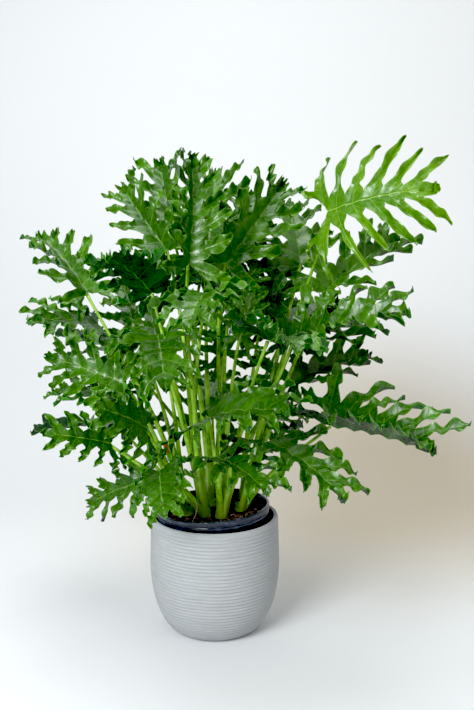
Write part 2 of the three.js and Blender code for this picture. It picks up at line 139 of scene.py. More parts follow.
def map_grid(
    bm: bmesh.types.BMesh,
    columns: int,
    rows: int,
    place: Callable[[int, int], Vector],
    mark: Callable[[bmesh.types.BMLoop, int, int], None] | None = None,
) -> tuple[list[bmesh.types.BMVert], list[bmesh.types.BMFace]]:
    """Add a grid of quads and lay it over a surface.

    Args:
        bm: The mesh that it is added to.
        columns: Quads across.
        rows: Quads along.
        place: Gives the place of a column's and row's point.
        mark: Sets what a face's corner carries, such as its UV, from its column and row.

    Returns:
        The new vertices and faces.
    """
    half = 0.5  # the flat grid reaches this far each way before it is laid
    made = bmesh.ops.create_grid(bm, x_segments=columns, y_segments=rows, size=half)["verts"]
    address = {
        v: (round((v.co.x + half) * columns), round((v.co.y + half) * rows)) for v in made
    }
    faces = {face for v in made for face in v.link_faces}
    for v, (column, row) in address.items():
        v.co = place(column, row)
    for face in faces:
        face.smooth = True
        if mark:
            for loop in face.loops:
                mark(loop, *address[loop.vert])
    return made, list(faces)


def arc(centre: Pair, radii: Pair, start: float, end: float, steps: int) -> list[Pair]:
    """Follow a part of an upright ellipse.

    Args:
        centre: Its centre.
        radii: How far it reaches sideways and up.
        start: The angle of the first point in degrees, from the side towards the top.
        end: The angle of the last one.
        steps: Steps between them.

    Returns:
        The points.
    """
    angles = [math.radians(lerp(start, end, i / steps)) for i in range(steps + 1)]
    return [
        (centre[0] + radii[0] * math.cos(a), centre[1] + radii[1] * math.sin(a)) for a in angles
    ]


def spin_profile(
    bm: bmesh.types.BMesh, profile: Iterable[Pair], steps: int
) -> list[bmesh.types.BMVert]:
    """Turn a profile round the Z axis.

    Args:
        bm: The mesh that it is added to.
        profile: Radius and height in millimetres, from the foot's middle up and back inside.
        steps: Quads round.

    Returns:
        The new vertices.
    """
    before = set(bm.verts)
    points = [bm.verts.new(Vector((radius, 0, height)) * MM) for radius, height in profile]
    edges = [bm.edges.new(pair) for pair in zip(points, points[1:])]
    bmesh.ops.spin(
        bm, geom=points + edges, cent=(0, 0, 0), axis=(0, 0, 1), dvec=(0, 0, 0),
        angle=TURN, steps=steps, use_merge=True, use_duplicate=False,
    )
    bmesh.ops.remove_doubles(bm, verts=bm.verts, dist=WELD)
    bmesh.ops.recalc_face_normals(bm, faces=bm.faces)
    for face in bm.faces:
        face.smooth = True
    return [v for v in bm.verts if v not in before]


def bezier(points: Curve, t: float) -> tuple[Vector, Vector]:
    """Read a cubic curve.

    Args:
        points: Its four points.
        t: The share of its way.

    Returns:
        The point and the direction there.
    """
    a, b, c, d = points
    s = 1 - t
    point = a * s**3 + b * 3 * s * s * t + c * 3 * s * t * t + d * t**3
    slope = (b - a) * s * s + (c - b) * 2 * s * t + (d - c) * t * t
    return point, slope.normalized()


def rings(points: Curve, rows: int) -> list[Ring]:
    """Follow a cubic curve without twisting.

    Args:
        points: The curve's points.
        rows: Steps along it.

    Returns:
        A ring for each row and one for the start.
    """
    found = []
    across = bezier(points, 0)[1].cross(Vector((0, 1, 0))).normalized()
    for row in range(rows + 1):
        place, tangent = bezier(points, row / rows)
        across = (across - tangent * across.dot(tangent)).normalized()
        found.append((place, across.copy(), tangent.cross(across)))
    return found


def beside(ring: Ring, angle: float, away: float) -> Vector:
    """Return the point beside a ring's middle at an angle in radians, in the ring's own units."""
    middle, side, other = ring
    return middle + (side * math.cos(angle) + other * math.sin(angle)) * away


def tube(
    bm: bmesh.types.BMesh,
    path: list[Ring],
    sides: int,
    size: Callable[[int, int], float],
    length: float = 1.0,
) -> list[bmesh.types.BMVert]:
    """Add a round tube, open at its ends.

    Args:
        bm: The mesh that it is added to.
        path: Its rings, in millimetres.
        sides: Quads round.
        size: Gives the radius in millimetres from a column and row.
        length: What the stalk map says at its end, where the mesh has that map.

    Returns:
        The new vertices.
    """
    rows = len(path) - 1
    uv = bm.loops.layers.uv.get(STALK_MAP)

    def put(column: int, row: int) -> Vector:
        """Return a point of the tube, in metres."""
        return beside(path[row], TURN * column / sides, size(column, row)) * MM

    def mark(loop: bmesh.types.BMLoop, column: int, row: int) -> None:
        """Write a corner's place in the stalk map."""
        loop[uv].uv = (column / sides, row / rows * length)

    return map_grid(bm, sides, rows, put, None if uv is None else mark)[0]


def close_ends(bm: bmesh.types.BMesh) -> None:
    """Fill a mesh's open ends and turn its faces outwards."""
    bmesh.ops.holes_fill(bm, edges=[e for e in bm.edges if e.is_boundary], sides=0)
    bmesh.ops.recalc_face_normals(bm, faces=bm.faces)


def thicken(
    bm: bmesh.types.BMesh, depth: Callable[[bmesh.types.BMVert], float], lift: float = 0.0
) -> list[bmesh.types.BMFace]:
    """Give an open sheet an underside, joined to it along its margin.

    Args:
        bm: The sheet, whose faces look up.
        depth: Gives how far below the sheet a point of the underside lies, in millimetres.
        lift: How far the upper side rises above the sheet, in millimetres.

    Returns:
        The underside's faces.
    """
    bm.normal_update()
    below = bm.faces[:]
    made = bmesh.ops.extrude_face_region(bm, geom=below, use_keep_orig=True)["geom"]
    tops = {item for item in made if isinstance(item, bmesh.types.BMVert)}
    for v in tops if lift else ():
        v.co += v.normal * lift * MM
    for v in {v for face in below for v in face.verts} - tops:
        v.co -= v.normal * depth(v) * MM
    bmesh.ops.reverse_faces(bm, faces=below)
    return below


def put_in_scene(name: str, data: bpy.types.ID) -> bpy.types.Object:
    """Make an object and put it in the scene, unturned at the origin.

    Args:
        name: Its name.
        data: Its mesh, light or camera.

    Returns:
        The object.
    """
    made = bpy.data.objects.new(name, data)
    bpy.context.scene.collection.objects.link(made)
    return made


def make_object(
    bm: bmesh.types.BMesh, name: str, materials: Iterable[bpy.types.Material]
) -> bpy.types.Object:
    """Make an object from a mesh and put it in the scene.

    Args:
        bm: The mesh, which is freed.
        name: The object's name.
        materials: Its materials, in the order of the faces' numbers.

    Returns:
        The object.
    """
    mesh = bpy.data.meshes.new(name)
    bm.to_mesh(mesh)
    bm.free()
    for material in materials:
        mesh.materials.append(material)
    return put_in_scene(name, mesh)


def finish_piece(
    bm: bmesh.types.BMesh,
    name: str,
    materials: Iterable[bpy.types.Material],
    stands_for: str | None = None,
    crease: float = 40.0,
) -> bpy.types.Object:
    """Make a piece from a mesh, put it in the scene and tell the frame about it.

    Args:
        bm: The mesh, which is freed.
        name: The piece's name.
        materials: Its materials, in the order of the faces' numbers.
        stands_for: The CAD node that it replaces.
        crease: Edges that turn more than this, in degrees, stay sharp.

    Returns:
        The piece.
    """
    for edge in bm.edges:
        if len(edge.link_faces) == 2 and edge.calc_face_angle(0) > math.radians(crease):
            edge.smooth = False
    piece = make_object(bm, name, materials)
    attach(piece, BODY)
    if stands_for:
        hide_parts(stands_for)
    log.info("%s: %d faces", name, len(piece.data.polygons))
    return piece


# ---- Finishes ----


class Recipe:
    """A material's nodes, built by short calls."""

    def __init__(self, name: str) -> None:
        """Start a material with its shader and output.

        Args:
            name: The material's name.
        """
        self.material = bpy.data.materials.new(name)
        self.material.use_nodes = True
        self.tree = self.material.node_tree
        self.tree.nodes.clear()
        self.shader = self.node("BsdfPrincipled")
        self.output = self.node("OutputMaterial")
        self.feed(self.output.inputs[0], self.shader.outputs[0])

    def node(self, kind: str, **settings: object) -> bpy.types.Node:
        """Add a node.

        Args:
            kind: The end of the node's type name.
            **settings: The node's own settings.

        Returns:
            The node.
        """
        made = self.tree.nodes.new("ShaderNode" + kind)
        for key, value in settings.items():
            setattr(made, key, value)
        return made

    def feed(self, socket: bpy.types.NodeSocket, value: object) -> None:
        """Link a socket to another, or set its value.

        Args:
            socket: The socket.
            value: The other socket or the value.
        """
        if isinstance(value, bpy.types.NodeSocket):
            self.tree.links.new(value, socket)
        else:
            socket.default_value = value

    def surface(self, **inputs: object) -> None:
        """Set the shader's inputs, with underscores for the spaces in their names."""
        for key, value in inputs.items():
            self.feed(self.shader.inputs[key.replace("_", " ")], value)

    def place(self, scale: Triple = (1, 1, 1)) -> bpy.types.NodeSocket:
        """Read the Object coordinates.

        Args:
            scale: How they are stretched along each axis.

        Returns:
            The coordinates.
        """
        mapping = self.node("Mapping")
        self.feed(mapping.inputs["Scale"], scale)
        self.feed(mapping.inputs["Vector"], self.node("TexCoord").outputs["Object"])
        return mapping.outputs[0]

    def uv(self, name: str) -> tuple[bpy.types.NodeSocket, bpy.types.NodeSocket]:
        """Read one of the piece's own UV maps.

        Args:
            name: The map's name.

        Returns:
            Its two coordinates.
        """
        split = self.node("SeparateXYZ")
        self.feed(split.inputs[0], self.node("UVMap", uv_map=name).outputs[0])
        return split.outputs[0], split.outputs[1]

    def noise(
        self, vector: bpy.types.NodeSocket, scale: float, detail: float = 3, rough: float = 0.5
    ) -> bpy.types.NodeSocket:
        """Add a noise.

        Args:
            vector: Where it is read.
            scale: How fine it is.
            detail: How many finer layers it has.
            rough: How strong those layers are.

        Returns:
            Its value, from 0 to 1.
        """
        made = self.node("TexNoise")
        self.feed(made.inputs["Vector"], vector)
        self.feed(made.inputs["Scale"], scale)
        self.feed(made.inputs["Detail"], detail)
        self.feed(made.inputs["Roughness"], rough)
        return made.outputs[0]

    def math(self, operation: str, *values: object) -> bpy.types.NodeSocket:
        """Add a Math node.

        Args:
            operation: What it does.
            *values: What it does it with.

        Returns:
            The result.
        """
        made = self.node("Math", operation=operation)
        for socket, value in zip(made.inputs, values):
            self.feed(socket, value)
        return made.outputs[0]

    def weigh(self, *parts: tuple[bpy.types.NodeSocket, float]) -> bpy.types.NodeSocket:
        """Add up values by their weights.

        Args:
            *parts: Each value with its weight.

        Returns:
            The sum.
        """
        total = None
        for value, weight in parts:
            part = value if weight == 1 else self.math("MULTIPLY", value, weight)
            total = part if total is None else self.math("ADD", total, part)
        return total

    def span(
        self, value: object, low: float, high: float, start: float = 0, end: float = 1
    ) -> bpy.types.NodeSocket:
        """Map a value's range smoothly on another.

        Args:
            value: The value.
            low: Where it gives start.
            high: Where it gives end.
            start: The result at low.
            end: The result at high.

        Returns:
            The mapped value.
        """
        made = self.node("MapRange", interpolation_type="SMOOTHSTEP")
        for socket, given in zip(made.inputs, (value, low, high, start, end)):
            self.feed(socket, given)
        return made.outputs[0]

    def blend(self, share: object, a: object, b: object) -> bpy.types.NodeSocket:
        """Turn a colour into another.

        Args:
            share: How far, from 0 to 1.
            a: The first colour, as a socket or as its red, green and blue.
            b: The second colour.

        Returns:
            The colour between them.
        """
        made = self.node("Mix", data_type="RGBA")
        colours = [s for s in made.inputs if s.type == "RGBA"]
        self.feed(made.inputs[0], share)
        for socket, value in zip(colours, (a, b)):
            self.feed(socket, (*value, 1) if isinstance(value, tuple) else value)
        return next(s for s in made.outputs if s.type == "RGBA")

    def relief(self, height: object, strength: float, depth: float) -> None:
        """Give the shader a bump.

        Args:
            height: The pattern, from 0 to 1.
            strength: How much of it shows.
            depth: Its depth in millimetres.
        """
        relief = self.node("Bump")
        self.feed(relief.inputs["Strength"], strength)
        self.feed(relief.inputs["Distance"], depth * MM)
        self.feed(relief.inputs["Height"], height)
        self.surface(Normal=relief.outputs[0])


@dataclass(frozen=True)
class RibbedStoneware:
    """The planter's pale grey, brushed and slightly dusty finish, with painted shade in its
    grooves.
    """

    pale: Triple = (0.46, 0.48, 0.495)
    dark: Triple = (0.36, 0.372, 0.375)
    # The colour of the dust and painted shade in the grooves.
    groove: Triple = (0.24, 0.24, 0.23)
    brushed: Triple = (6, 6, 260)  # streaks that run round the planter
    roughness: float = 0.82
    specular: float = 0.3

    def material(self) -> bpy.types.Material:
        """Make the finish.

        Returns:
            The material.
        """
        r = Recipe("ribbed_stoneware")
        streaks = r.noise(r.place(self.brushed), scale=4, detail=5, rough=0.6)
        clouds = r.noise(r.place(), scale=9, detail=4, rough=0.6)
        grain = r.noise(r.place(), scale=420, detail=2)
        tone = r.weigh((streaks, 0.6), (clouds, 0.4))
        colour = r.blend(r.span(tone, low=0.36, high=0.6), self.dark, self.pale)
        speck = r.span(grain, low=0.66, high=0.74, end=0.5)
        colour = r.blend(speck, colour, self.dark)
        # Dust and painted shade darken the grooves, more in some places than in others.
        dust = r.span(clouds, low=0.4, high=0.6, start=0.1, end=0.55)
        colour = r.blend(r.math("MULTIPLY", r.uv("groove")[0], dust), colour, self.groove)
        r.surface(
            Base_Color=colour, Roughness=self.roughness, Specular_IOR_Level=self.specular
        )
        r.relief(r.weigh((streaks, 1), (grain, 0.25)), strength=0.4, depth=0.5)
        return r.material


@dataclass(frozen=True)
class BlackPlastic:
    """The grower's pot's glossy black plastic, scuffed and dusty in places."""

    black: Triple = (0.018, 0.026, 0.038)
    dust: Triple = (0.13, 0.17, 0.22)
    smears: Triple = (1, 1, 4)
    scratched: Triple = (20, 20, 400)
    glossiest: float = 0.1  # roughness
    dullest: float = 0.34
    specular: float = 0.7

    def material(self) -> bpy.types.Material:
        """Make the finish.

        Returns:
            The material.
        """
        r = Recipe("black_plastic")
        dust = r.noise(r.place(self.smears), scale=30, detail=6, rough=0.65)
        scratches = r.noise(r.place(self.scratched), scale=2)
        share = r.span(dust, low=0.46, high=0.72, end=0.6)
        r.surface(
            Base_Color=r.blend(share, self.black, self.dust),
            Roughness=r.span(dust, low=0.3, high=0.7, start=self.glossiest, end=self.dullest),
            Specular_IOR_Level=self.specular,
        )
        r.relief(scratches, strength=0.25, depth=0.4)
        return r.material


@dataclass(frozen=True)
class PottingMix:
    """Dark, crumbly soil with paler crumbs."""

    dark: Triple = (0.06, 0.045, 0.036)
    pale: Triple = (0.24, 0.165, 0.115)
    crumb_depth: float = 4  # millimetres

    def material(self) -> bpy.types.Material:
        """Make the finish.

        Returns:
            The material.
        """
        r = Recipe("potting_mix")
        crumbs = r.noise(r.place(), scale=140, detail=6, rough=0.7)
        clouds = r.noise(r.place(), scale=25)
        pale = r.span(crumbs, low=0.45, high=0.72)
        share = r.math("MULTIPLY", pale, r.span(clouds, low=0.3, high=0.7, start=0.4))
        r.surface(Base_Color=r.blend(share, self.dark, self.pale), Roughness=1.0)
        r.relief(crumbs, strength=1.0, depth=self.crumb_depth)
        return r.material


@dataclass(frozen=True)
class Bark:
    """Wood and bark bits: the chips on the soil, the dry sheath and the roots."""

    name: str
    dark: Triple
    pale: Triple
    roughness: float = 0.9
    fibres: Triple = (1, 1, 3)

    def material(self) -> bpy.types.Material:
        """Make the finish.

        Returns:
            The material.
        """
        r = Recipe(self.name)
        pattern = r.noise(r.place(self.fibres), scale=45, detail=5, rough=0.65)
        fine = r.noise(r.place(), scale=300, detail=4)
        share = r.span(pattern, low=0.35, high=0.65)
        r.surface(
            Base_Color=r.blend(share, self.dark, self.pale), Roughness=self.roughness
        )
        r.relief(r.weigh((pattern, 1), (fine, 1)), strength=0.7, depth=1)
        return r.material


@dataclass(frozen=True)
class StalkSkin:
    """The stalks' smooth skin: yellow-green, paler at the foot, with fine streaks."""

    deep: Triple = (0.03, 0.14, 0.010)
    fresh: Triple = (0.38, 0.66, 0.08)
    foot: Triple = (0.44, 0.60, 0.16)
    scar: Triple = (0.16, 0.11, 0.04)
    streaks: Pair = (9, 3)  # how fine they are round the stalk and along it
    foot_end: float = 1.6  # in the stalk map
    specular: float = 0.35

    def material(self) -> bpy.types.Material:
        """Make the finish.

        Returns:
            The material.
        """
        r = Recipe("stalk_skin")
        around, along = r.uv(STALK_MAP)
        spread = r.node("CombineXYZ")
        for socket, value, fine in zip(spread.inputs, (around, along), self.streaks):
            r.feed(socket, r.math("MULTIPLY", value, fine))
        lines = r.noise(spread.outputs[0], scale=3, detail=4)
        clouds = r.noise(r.place(), scale=16, detail=4, rough=0.6)
        colour = r.blend(r.span(clouds, low=0.32, high=0.68), self.deep, self.fresh)
        colour = r.blend(r.span(lines, low=0.4, high=0.65, end=0.6), colour, self.fresh)
        foot = r.span(along, low=0.0, high=self.foot_end, start=0.6, end=0)
        colour = r.blend(foot, colour, self.foot)
        grain = r.noise(r.place(), scale=210, detail=2)
        specks = r.span(grain, low=0.68, high=0.74, end=0.7)
        colour = r.blend(specks, colour, self.scar)
        r.surface(
            Base_Color=colour,
            Roughness=r.span(clouds, low=0.3, high=0.7, start=0.22, end=0.38),
            Specular_IOR_Level=self.specular,
        )
        r.relief(lines, strength=0.35, depth=0.8)
        return r.material


class Tone(Enum):
    """How a leaf is coloured: its deep green, its lighter green and its veins."""

    # A darker copy of GREEN: older leaves at the back, darkened further as painted shade.
    OLD_AND_SHADED = ((0.001, 0.012, 0.0005), (0.005, 0.045, 0.001), (0.06, 0.17, 0.02))
    GREEN = ((0.002, 0.026, 0.001), (0.018, 0.132, 0.003), (0.13, 0.33, 0.03))
    # A lighter copy of GREEN: painted light on leaves that the key light catches.
    LIT = ((0.012, 0.100, 0.002), (0.050, 0.280, 0.004), (0.20, 0.46, 0.05))
    YOUNG = ((0.032, 0.125, 0.002), (0.105, 0.270, 0.006), (0.30, 0.52, 0.07))
    UNDER = ((0.028, 0.100, 0.006), (0.076, 0.210, 0.016), (0.26, 0.44, 0.10))
    YOUNG_UNDER = ((0.060, 0.180, 0.008), (0.140, 0.300, 0.020), (0.33, 0.50, 0.10))

    def beneath(self) -> "Tone":
        """Return the tone of the underside of a leaf with this one."""
        return Tone.YOUNG_UNDER if self is Tone.YOUNG else Tone.UNDER


@dataclass(frozen=True)
class LeafSkin:
    """A leaf's face: veined, slightly quilted and glossy."""

    tone: Tone
    gloss: float = 0.27  # roughness
    vein: float = 0.9  # half of a vein's width in millimetres
    side_veins: float = 5.5  # in a unit of the lobes' map
    specular: float = 0.5

    def material(self) -> bpy.types.Material:
        """Make the finish.

        Returns:
            The material.
        """
        r = Recipe("leaf_" + self.tone.name.lower())
        deep, light, vein = self.tone.value
        beside_vein, along = r.uv("lobe")
        aside = r.math("ABSOLUTE", beside_vein)
        edge, free = r.uv("margin")
        clouds = r.noise(r.place(), scale=11, detail=4, rough=0.55)
        mottle = r.noise(r.place(), scale=75, detail=4, rough=0.6)
        # Painted shade: the blade is darker towards its middle and lighter towards the lobes' tips.
        tone = r.weigh((clouds, 0.7), (mottle, 0.3), (free, 0.1))
        colour = r.blend(r.span(tone, low=0.38, high=0.70), deep, light)
        # Side veins leave each lobe's vein slanting outwards, a little crooked.
        bent = r.weigh((mottle, 0.25), (along, 1))
        slanted = r.math("MULTIPLY", r.math("SUBTRACT", bent, aside), self.side_veins)
        from_middle = r.math("SUBTRACT", r.math("FRACT", slanted), 0.5)
        side = r.span(r.math("ABSOLUTE", from_middle), low=0.36, high=0.5)
        colour = r.blend(r.math("MULTIPLY", side, 0.12), colour, vein)
        half = self.vein / LOBE_UNIT
        line = r.span(aside, low=half * 0.4, high=half * 1.3, start=1, end=0)
        rib = r.span(along, low=half * 0.7, high=half * 2.2, start=1, end=0)
        ribs = r.math("MAXIMUM", r.math("MULTIPLY", line, 0.45), r.math("MULTIPLY", rib, 0.85))
        colour = r.blend(ribs, colour, vein)
        # The thin rim of the margin is a little lighter, but not along the cuts.
        rim = r.span(edge, low=0.86, high=1, end=0.4)
        rim = r.math("MULTIPLY", rim, r.span(free, low=0, high=0.12))
        colour = r.blend(rim, colour, vein)
        glossiest, dullest = self.gloss - 0.06, self.gloss + 0.1
        r.surface(
            Base_Color=colour,
            Roughness=r.span(mottle, low=0.3, high=0.7, start=glossiest, end=dullest),
            Specular_IOR_Level=self.specular,
        )
        r.relief(r.weigh((side, -0.6), (mottle, 0.35)), strength=0.45, depth=0.9)
        return r.material


@dataclass(frozen=True)
class PaintedShade:
    """A patch of painted shade on the paper, strongest in its middle."""

    centre: Triple  # metres
    radius: float
    tint: Triple
    most: float  # how much of the tint shows in the middle
    core: float = 0.25  # share of the radius that shows the most


@dataclass(frozen=True)
class StudioPaper:
    """The pale floor that sweeps up behind, warmer and darker at the right by a painted shadow,
    cooler and darker at the left by painted shade.
    """

    white: Triple = (0.80, 0.82, 0.835)
    painted_shades: tuple[PaintedShade, ...] = (
        # Painted shadow of the plant, warm, on the floor and wall at the right.
        PaintedShade((0.45, 1.15, 0.1), 1.35, (0.54, 0.48, 0.37), 0.95),
        # Painted shade that darkens the floor at the left.
        PaintedShade((-1.1, 1.5, 0.2), 1.8, (0.71, 0.73, 0.745), 0.9),
    )
    roughness: float = 0.95

    def material(self) -> bpy.types.Material:
        """Make the finish.

        Returns:
            The material.
        """
        r = Recipe("studio_paper")
        colour = self.white
        for shade_patch in self.painted_shades:
            away = r.node("VectorMath", operation="DISTANCE")
            r.feed(away.inputs[0], r.place())
            r.feed(away.inputs[1], shade_patch.centre)
            core = shade_patch.radius * shade_patch.core
            share = r.span(away.outputs["Value"], shade_patch.radius, core, end=shade_patch.most)
            colour = r.blend(share, colour, shade_patch.tint)
        r.surface(Base_Color=colour, Roughness=self.roughness)
        # From behind it can be looked through, so that the plant shows there too.
        mix = r.node("MixShader")
        r.feed(mix.inputs[0], r.node("NewGeometry").outputs["Backfacing"])
        r.feed(mix.inputs[1], r.shader.outputs[0])
        r.feed(mix.inputs[2], r.node("BsdfTransparent").outputs[0])
        r.feed(r.output.inputs[0], mix.outputs[0])
        return r.material


# ---- Pots and soil ----


@dataclass(frozen=True)
class Planter:
    """The round planter, with fine ribs on its outside."""

    radius: float = 157
    height: float = 285
    foot_radius: float = 85
    bowl_height: float = 170
    bowl_steps: int = 24
    wall: float = 13
    floor: float = 26
    rim_radius: float = 154
    rim_inner_radius: float = 143
    rim_edge: float = 2
    rim_depth: float = 40
    shoulder: Pair = (5, 14)
    shoulder_start: float = 15  # degrees
    shoulder_steps: int = 8
    inner_foot_radius: float = 70
    inner_bowl_height: float = 190
    inner_steps: int = 16
    rib_pitch: float = 8.5
    rib_depth: float = 1.0
    rib_steps: int = 6
    rib_power: int = 6  # the higher, the narrower the grooves
    plain_foot: Pair = (4, 14)  # no ribs this far up, and full ones that much above
    plain_rim: Pair = (8, 10)  # the same, from the rim down
    steps: int = 128
    digits: int = 2  # to which places are compared

    def outline(self) -> list[Pair]:
        """Draw the outside without its ribs.

        Returns:
            The profile from the foot up.
        """
        bowl = (self.radius - self.foot_radius, self.bowl_height)
        top = (self.rim_radius - self.shoulder[0], self.height - self.shoulder[1])
        return [
            *arc((self.foot_radius, self.bowl_height), bowl, -90, 0, self.bowl_steps),
            *arc(top, self.shoulder, self.shoulder_start, 90, self.shoulder_steps),
        ]

    def groove(self, run: float, height: float) -> float:
        """Tell how deep the groove is at a place of the outside.

        Args:
            run: The way to it along the profile.
            height: Its height.

        Returns:
            The depth, from 0 between the grooves to 1 in their middle.
        """
        foot, rim = self.plain_foot, self.plain_rim
        full = ease((height - foot[0]) / foot[1]) * ease((self.height - rim[0] - height) / rim[1])
        return full * math.cos(math.pi * run / self.rib_pitch) ** self.rib_power

    def ribbed(self) -> list[Triple]:
        """Draw the outside with its ribs, in even small steps.

        Returns:
            The radius, the height and the groove's depth of each point, from the foot up.
        """
        line = self.outline()
        points = [(*line[0], 0)]
        run = 0.0
        step = self.rib_pitch / self.rib_steps
        for (r0, z0), (r1, z1) in zip(line, line[1:]):
            length = math.hypot(r1 - r0, z1 - z0)
            out = Vector((z1 - z0, r0 - r1)).normalized()
            count = max(1, round(length / step))
            for i in range(1, count + 1):
                share = i / count
                radius, height = lerp(r0, r1, share), lerp(z0, z1, share)
                depth = self.groove(run + length * share, height)
                inward = self.rib_depth * depth
                points.append((radius - out.x * inward, height - out.y * inward, depth))
            run += length
        return points

    def build(self, finish: bpy.types.Material) -> bpy.types.Object:
        """Build the planter.

        Args:
            finish: Its material.

        Returns:
            The piece.
        """
        inner = self.radius - self.wall
        bowl = (inner - self.inner_foot_radius, self.inner_bowl_height - self.floor)
        centre = (self.inner_foot_radius, self.inner_bowl_height)
        ribbed = self.ribbed()
        profile = [
            (0, 0),
            *(point[:2] for point in ribbed),
            (self.rim_inner_radius, self.height - self.rim_edge),
            (inner, self.height - self.rim_depth),
            *arc(centre, bowl, 0, -90, self.inner_steps),
            (0, self.floor),
        ]
        bm = bmesh.new()
        spin_profile(bm, profile, self.steps)
        uv = bm.loops.layers.uv.new("groove")
        depths = {(round(r, self.digits), round(z, self.digits)): d for r, z, d in ribbed}
        for loop in (loop for face in bm.faces for loop in face.loops):
            x, y, z = loop.vert.co / MM
            spot = (round(math.hypot(x, y), self.digits), round(z, self.digits))
            loop[uv].uv = (depths.get(spot, 0), 0)
        return finish_piece(bm, "planter_body", [finish], "planter")


@dataclass(frozen=True)
class GrowerPot:
    """The thin black pot with its banded rim, which leans a little in the planter."""

    rim_radius: float = 137
    body_radius: float = 132
    base_radius: float = 98
    height: float = 266
    wall: float = 3
    floor: float = 4
    lip: float = 12
    groove: float = 4
    band: float = 9
    step: float = 3
    bevel: float = 4
    edge: float = 1
    base_rise: float = 3
    base_round: Pair = (2, 2.5)
    base_start: float = -80  # degrees
    body_edge: float = 0.3
    band_start: Pair = (0.6, 2.5)
    band_round: float = 1.5
    lip_start: Pair = (0.5, 2)
    lip_round: Pair = (1.5, 1.8)
    lip_drop: float = 2
    inner_edge: Pair = (0.8, 0.4)
    inner_drop: float = 1.6
    round_steps: int = 3
    base_at: Triple = (9, 0, 42.5)
    tilt: float = 3  # degrees
    steps: int = 96
    crease: float = 50  # degrees

    def matrix(self) -> Matrix:
        """Return the pot's place in the planter, in metres."""
        turn = Matrix.Rotation(math.radians(self.tilt), 4, (0, -1, 0))
        return Matrix.Translation(Vector(self.base_at) * MM) @ turn

    def radius(self, height: float) -> float:
        """Return the outside's radius at a height above the pot's base."""
        return self.base_radius + (self.body_radius - self.base_radius) * height / self.height

    def profile(self) -> list[Pair]:
        """Draw the pot's section.

        Returns:
            Its points, from the base's middle up and back inside.
        """
        lip_foot = self.height - self.lip
        band_top = lip_foot - self.groove
        band_foot = band_top - self.band
        body = self.radius(band_foot)
        inside = self.rim_radius - self.step - self.wall
        base = (self.base_radius - self.base_round[0], self.base_rise)
        band = (self.rim_radius - self.edge - self.band_round, band_top - self.band_round)
        lip = (self.rim_radius - self.lip_round[0], self.height - self.lip_drop)
        return [
            (0, 0),
            (self.base_radius - self.bevel, 0),
            *arc(base, self.base_round, self.base_start, 0, self.round_steps),
            (body - self.body_edge, band_foot - self.body_edge),
            (self.rim_radius - self.edge - self.band_start[0], band_foot + self.edge),
            (self.rim_radius - self.edge, band_foot + self.band_start[1]),
            *arc(band, (self.band_round, self.band_round), 0, 90, self.round_steps),
            (self.rim_radius - self.step, band_top + self.edge / 2),
            (self.rim_radius - self.step, lip_foot),
            (self.rim_radius - self.lip_start[0], lip_foot + self.edge / 2),
            (self.rim_radius, lip_foot + self.lip_start[1]),
            *arc(lip, self.lip_round, 0, 90, self.round_steps),
            (inside + self.inner_edge[0], self.height - self.inner_edge[1]),
            (inside, self.height - self.inner_drop),
            (body - self.wall, band_foot),
            (self.base_radius - self.wall, self.floor),
            (0, self.floor),
        ]

    def build(self, finish: bpy.types.Material) -> bpy.types.Object:
        """Build the pot.

        Args:
            finish: Its material.

        Returns:
            The piece.
        """
        bm = bmesh.new()
        spin_profile(bm, self.profile(), self.steps)
        bmesh.ops.transform(bm, matrix=self.matrix(), verts=bm.verts)
        return finish_piece(
            bm, "grower_pot_body", [finish], "grower_pot", self.crease
        )


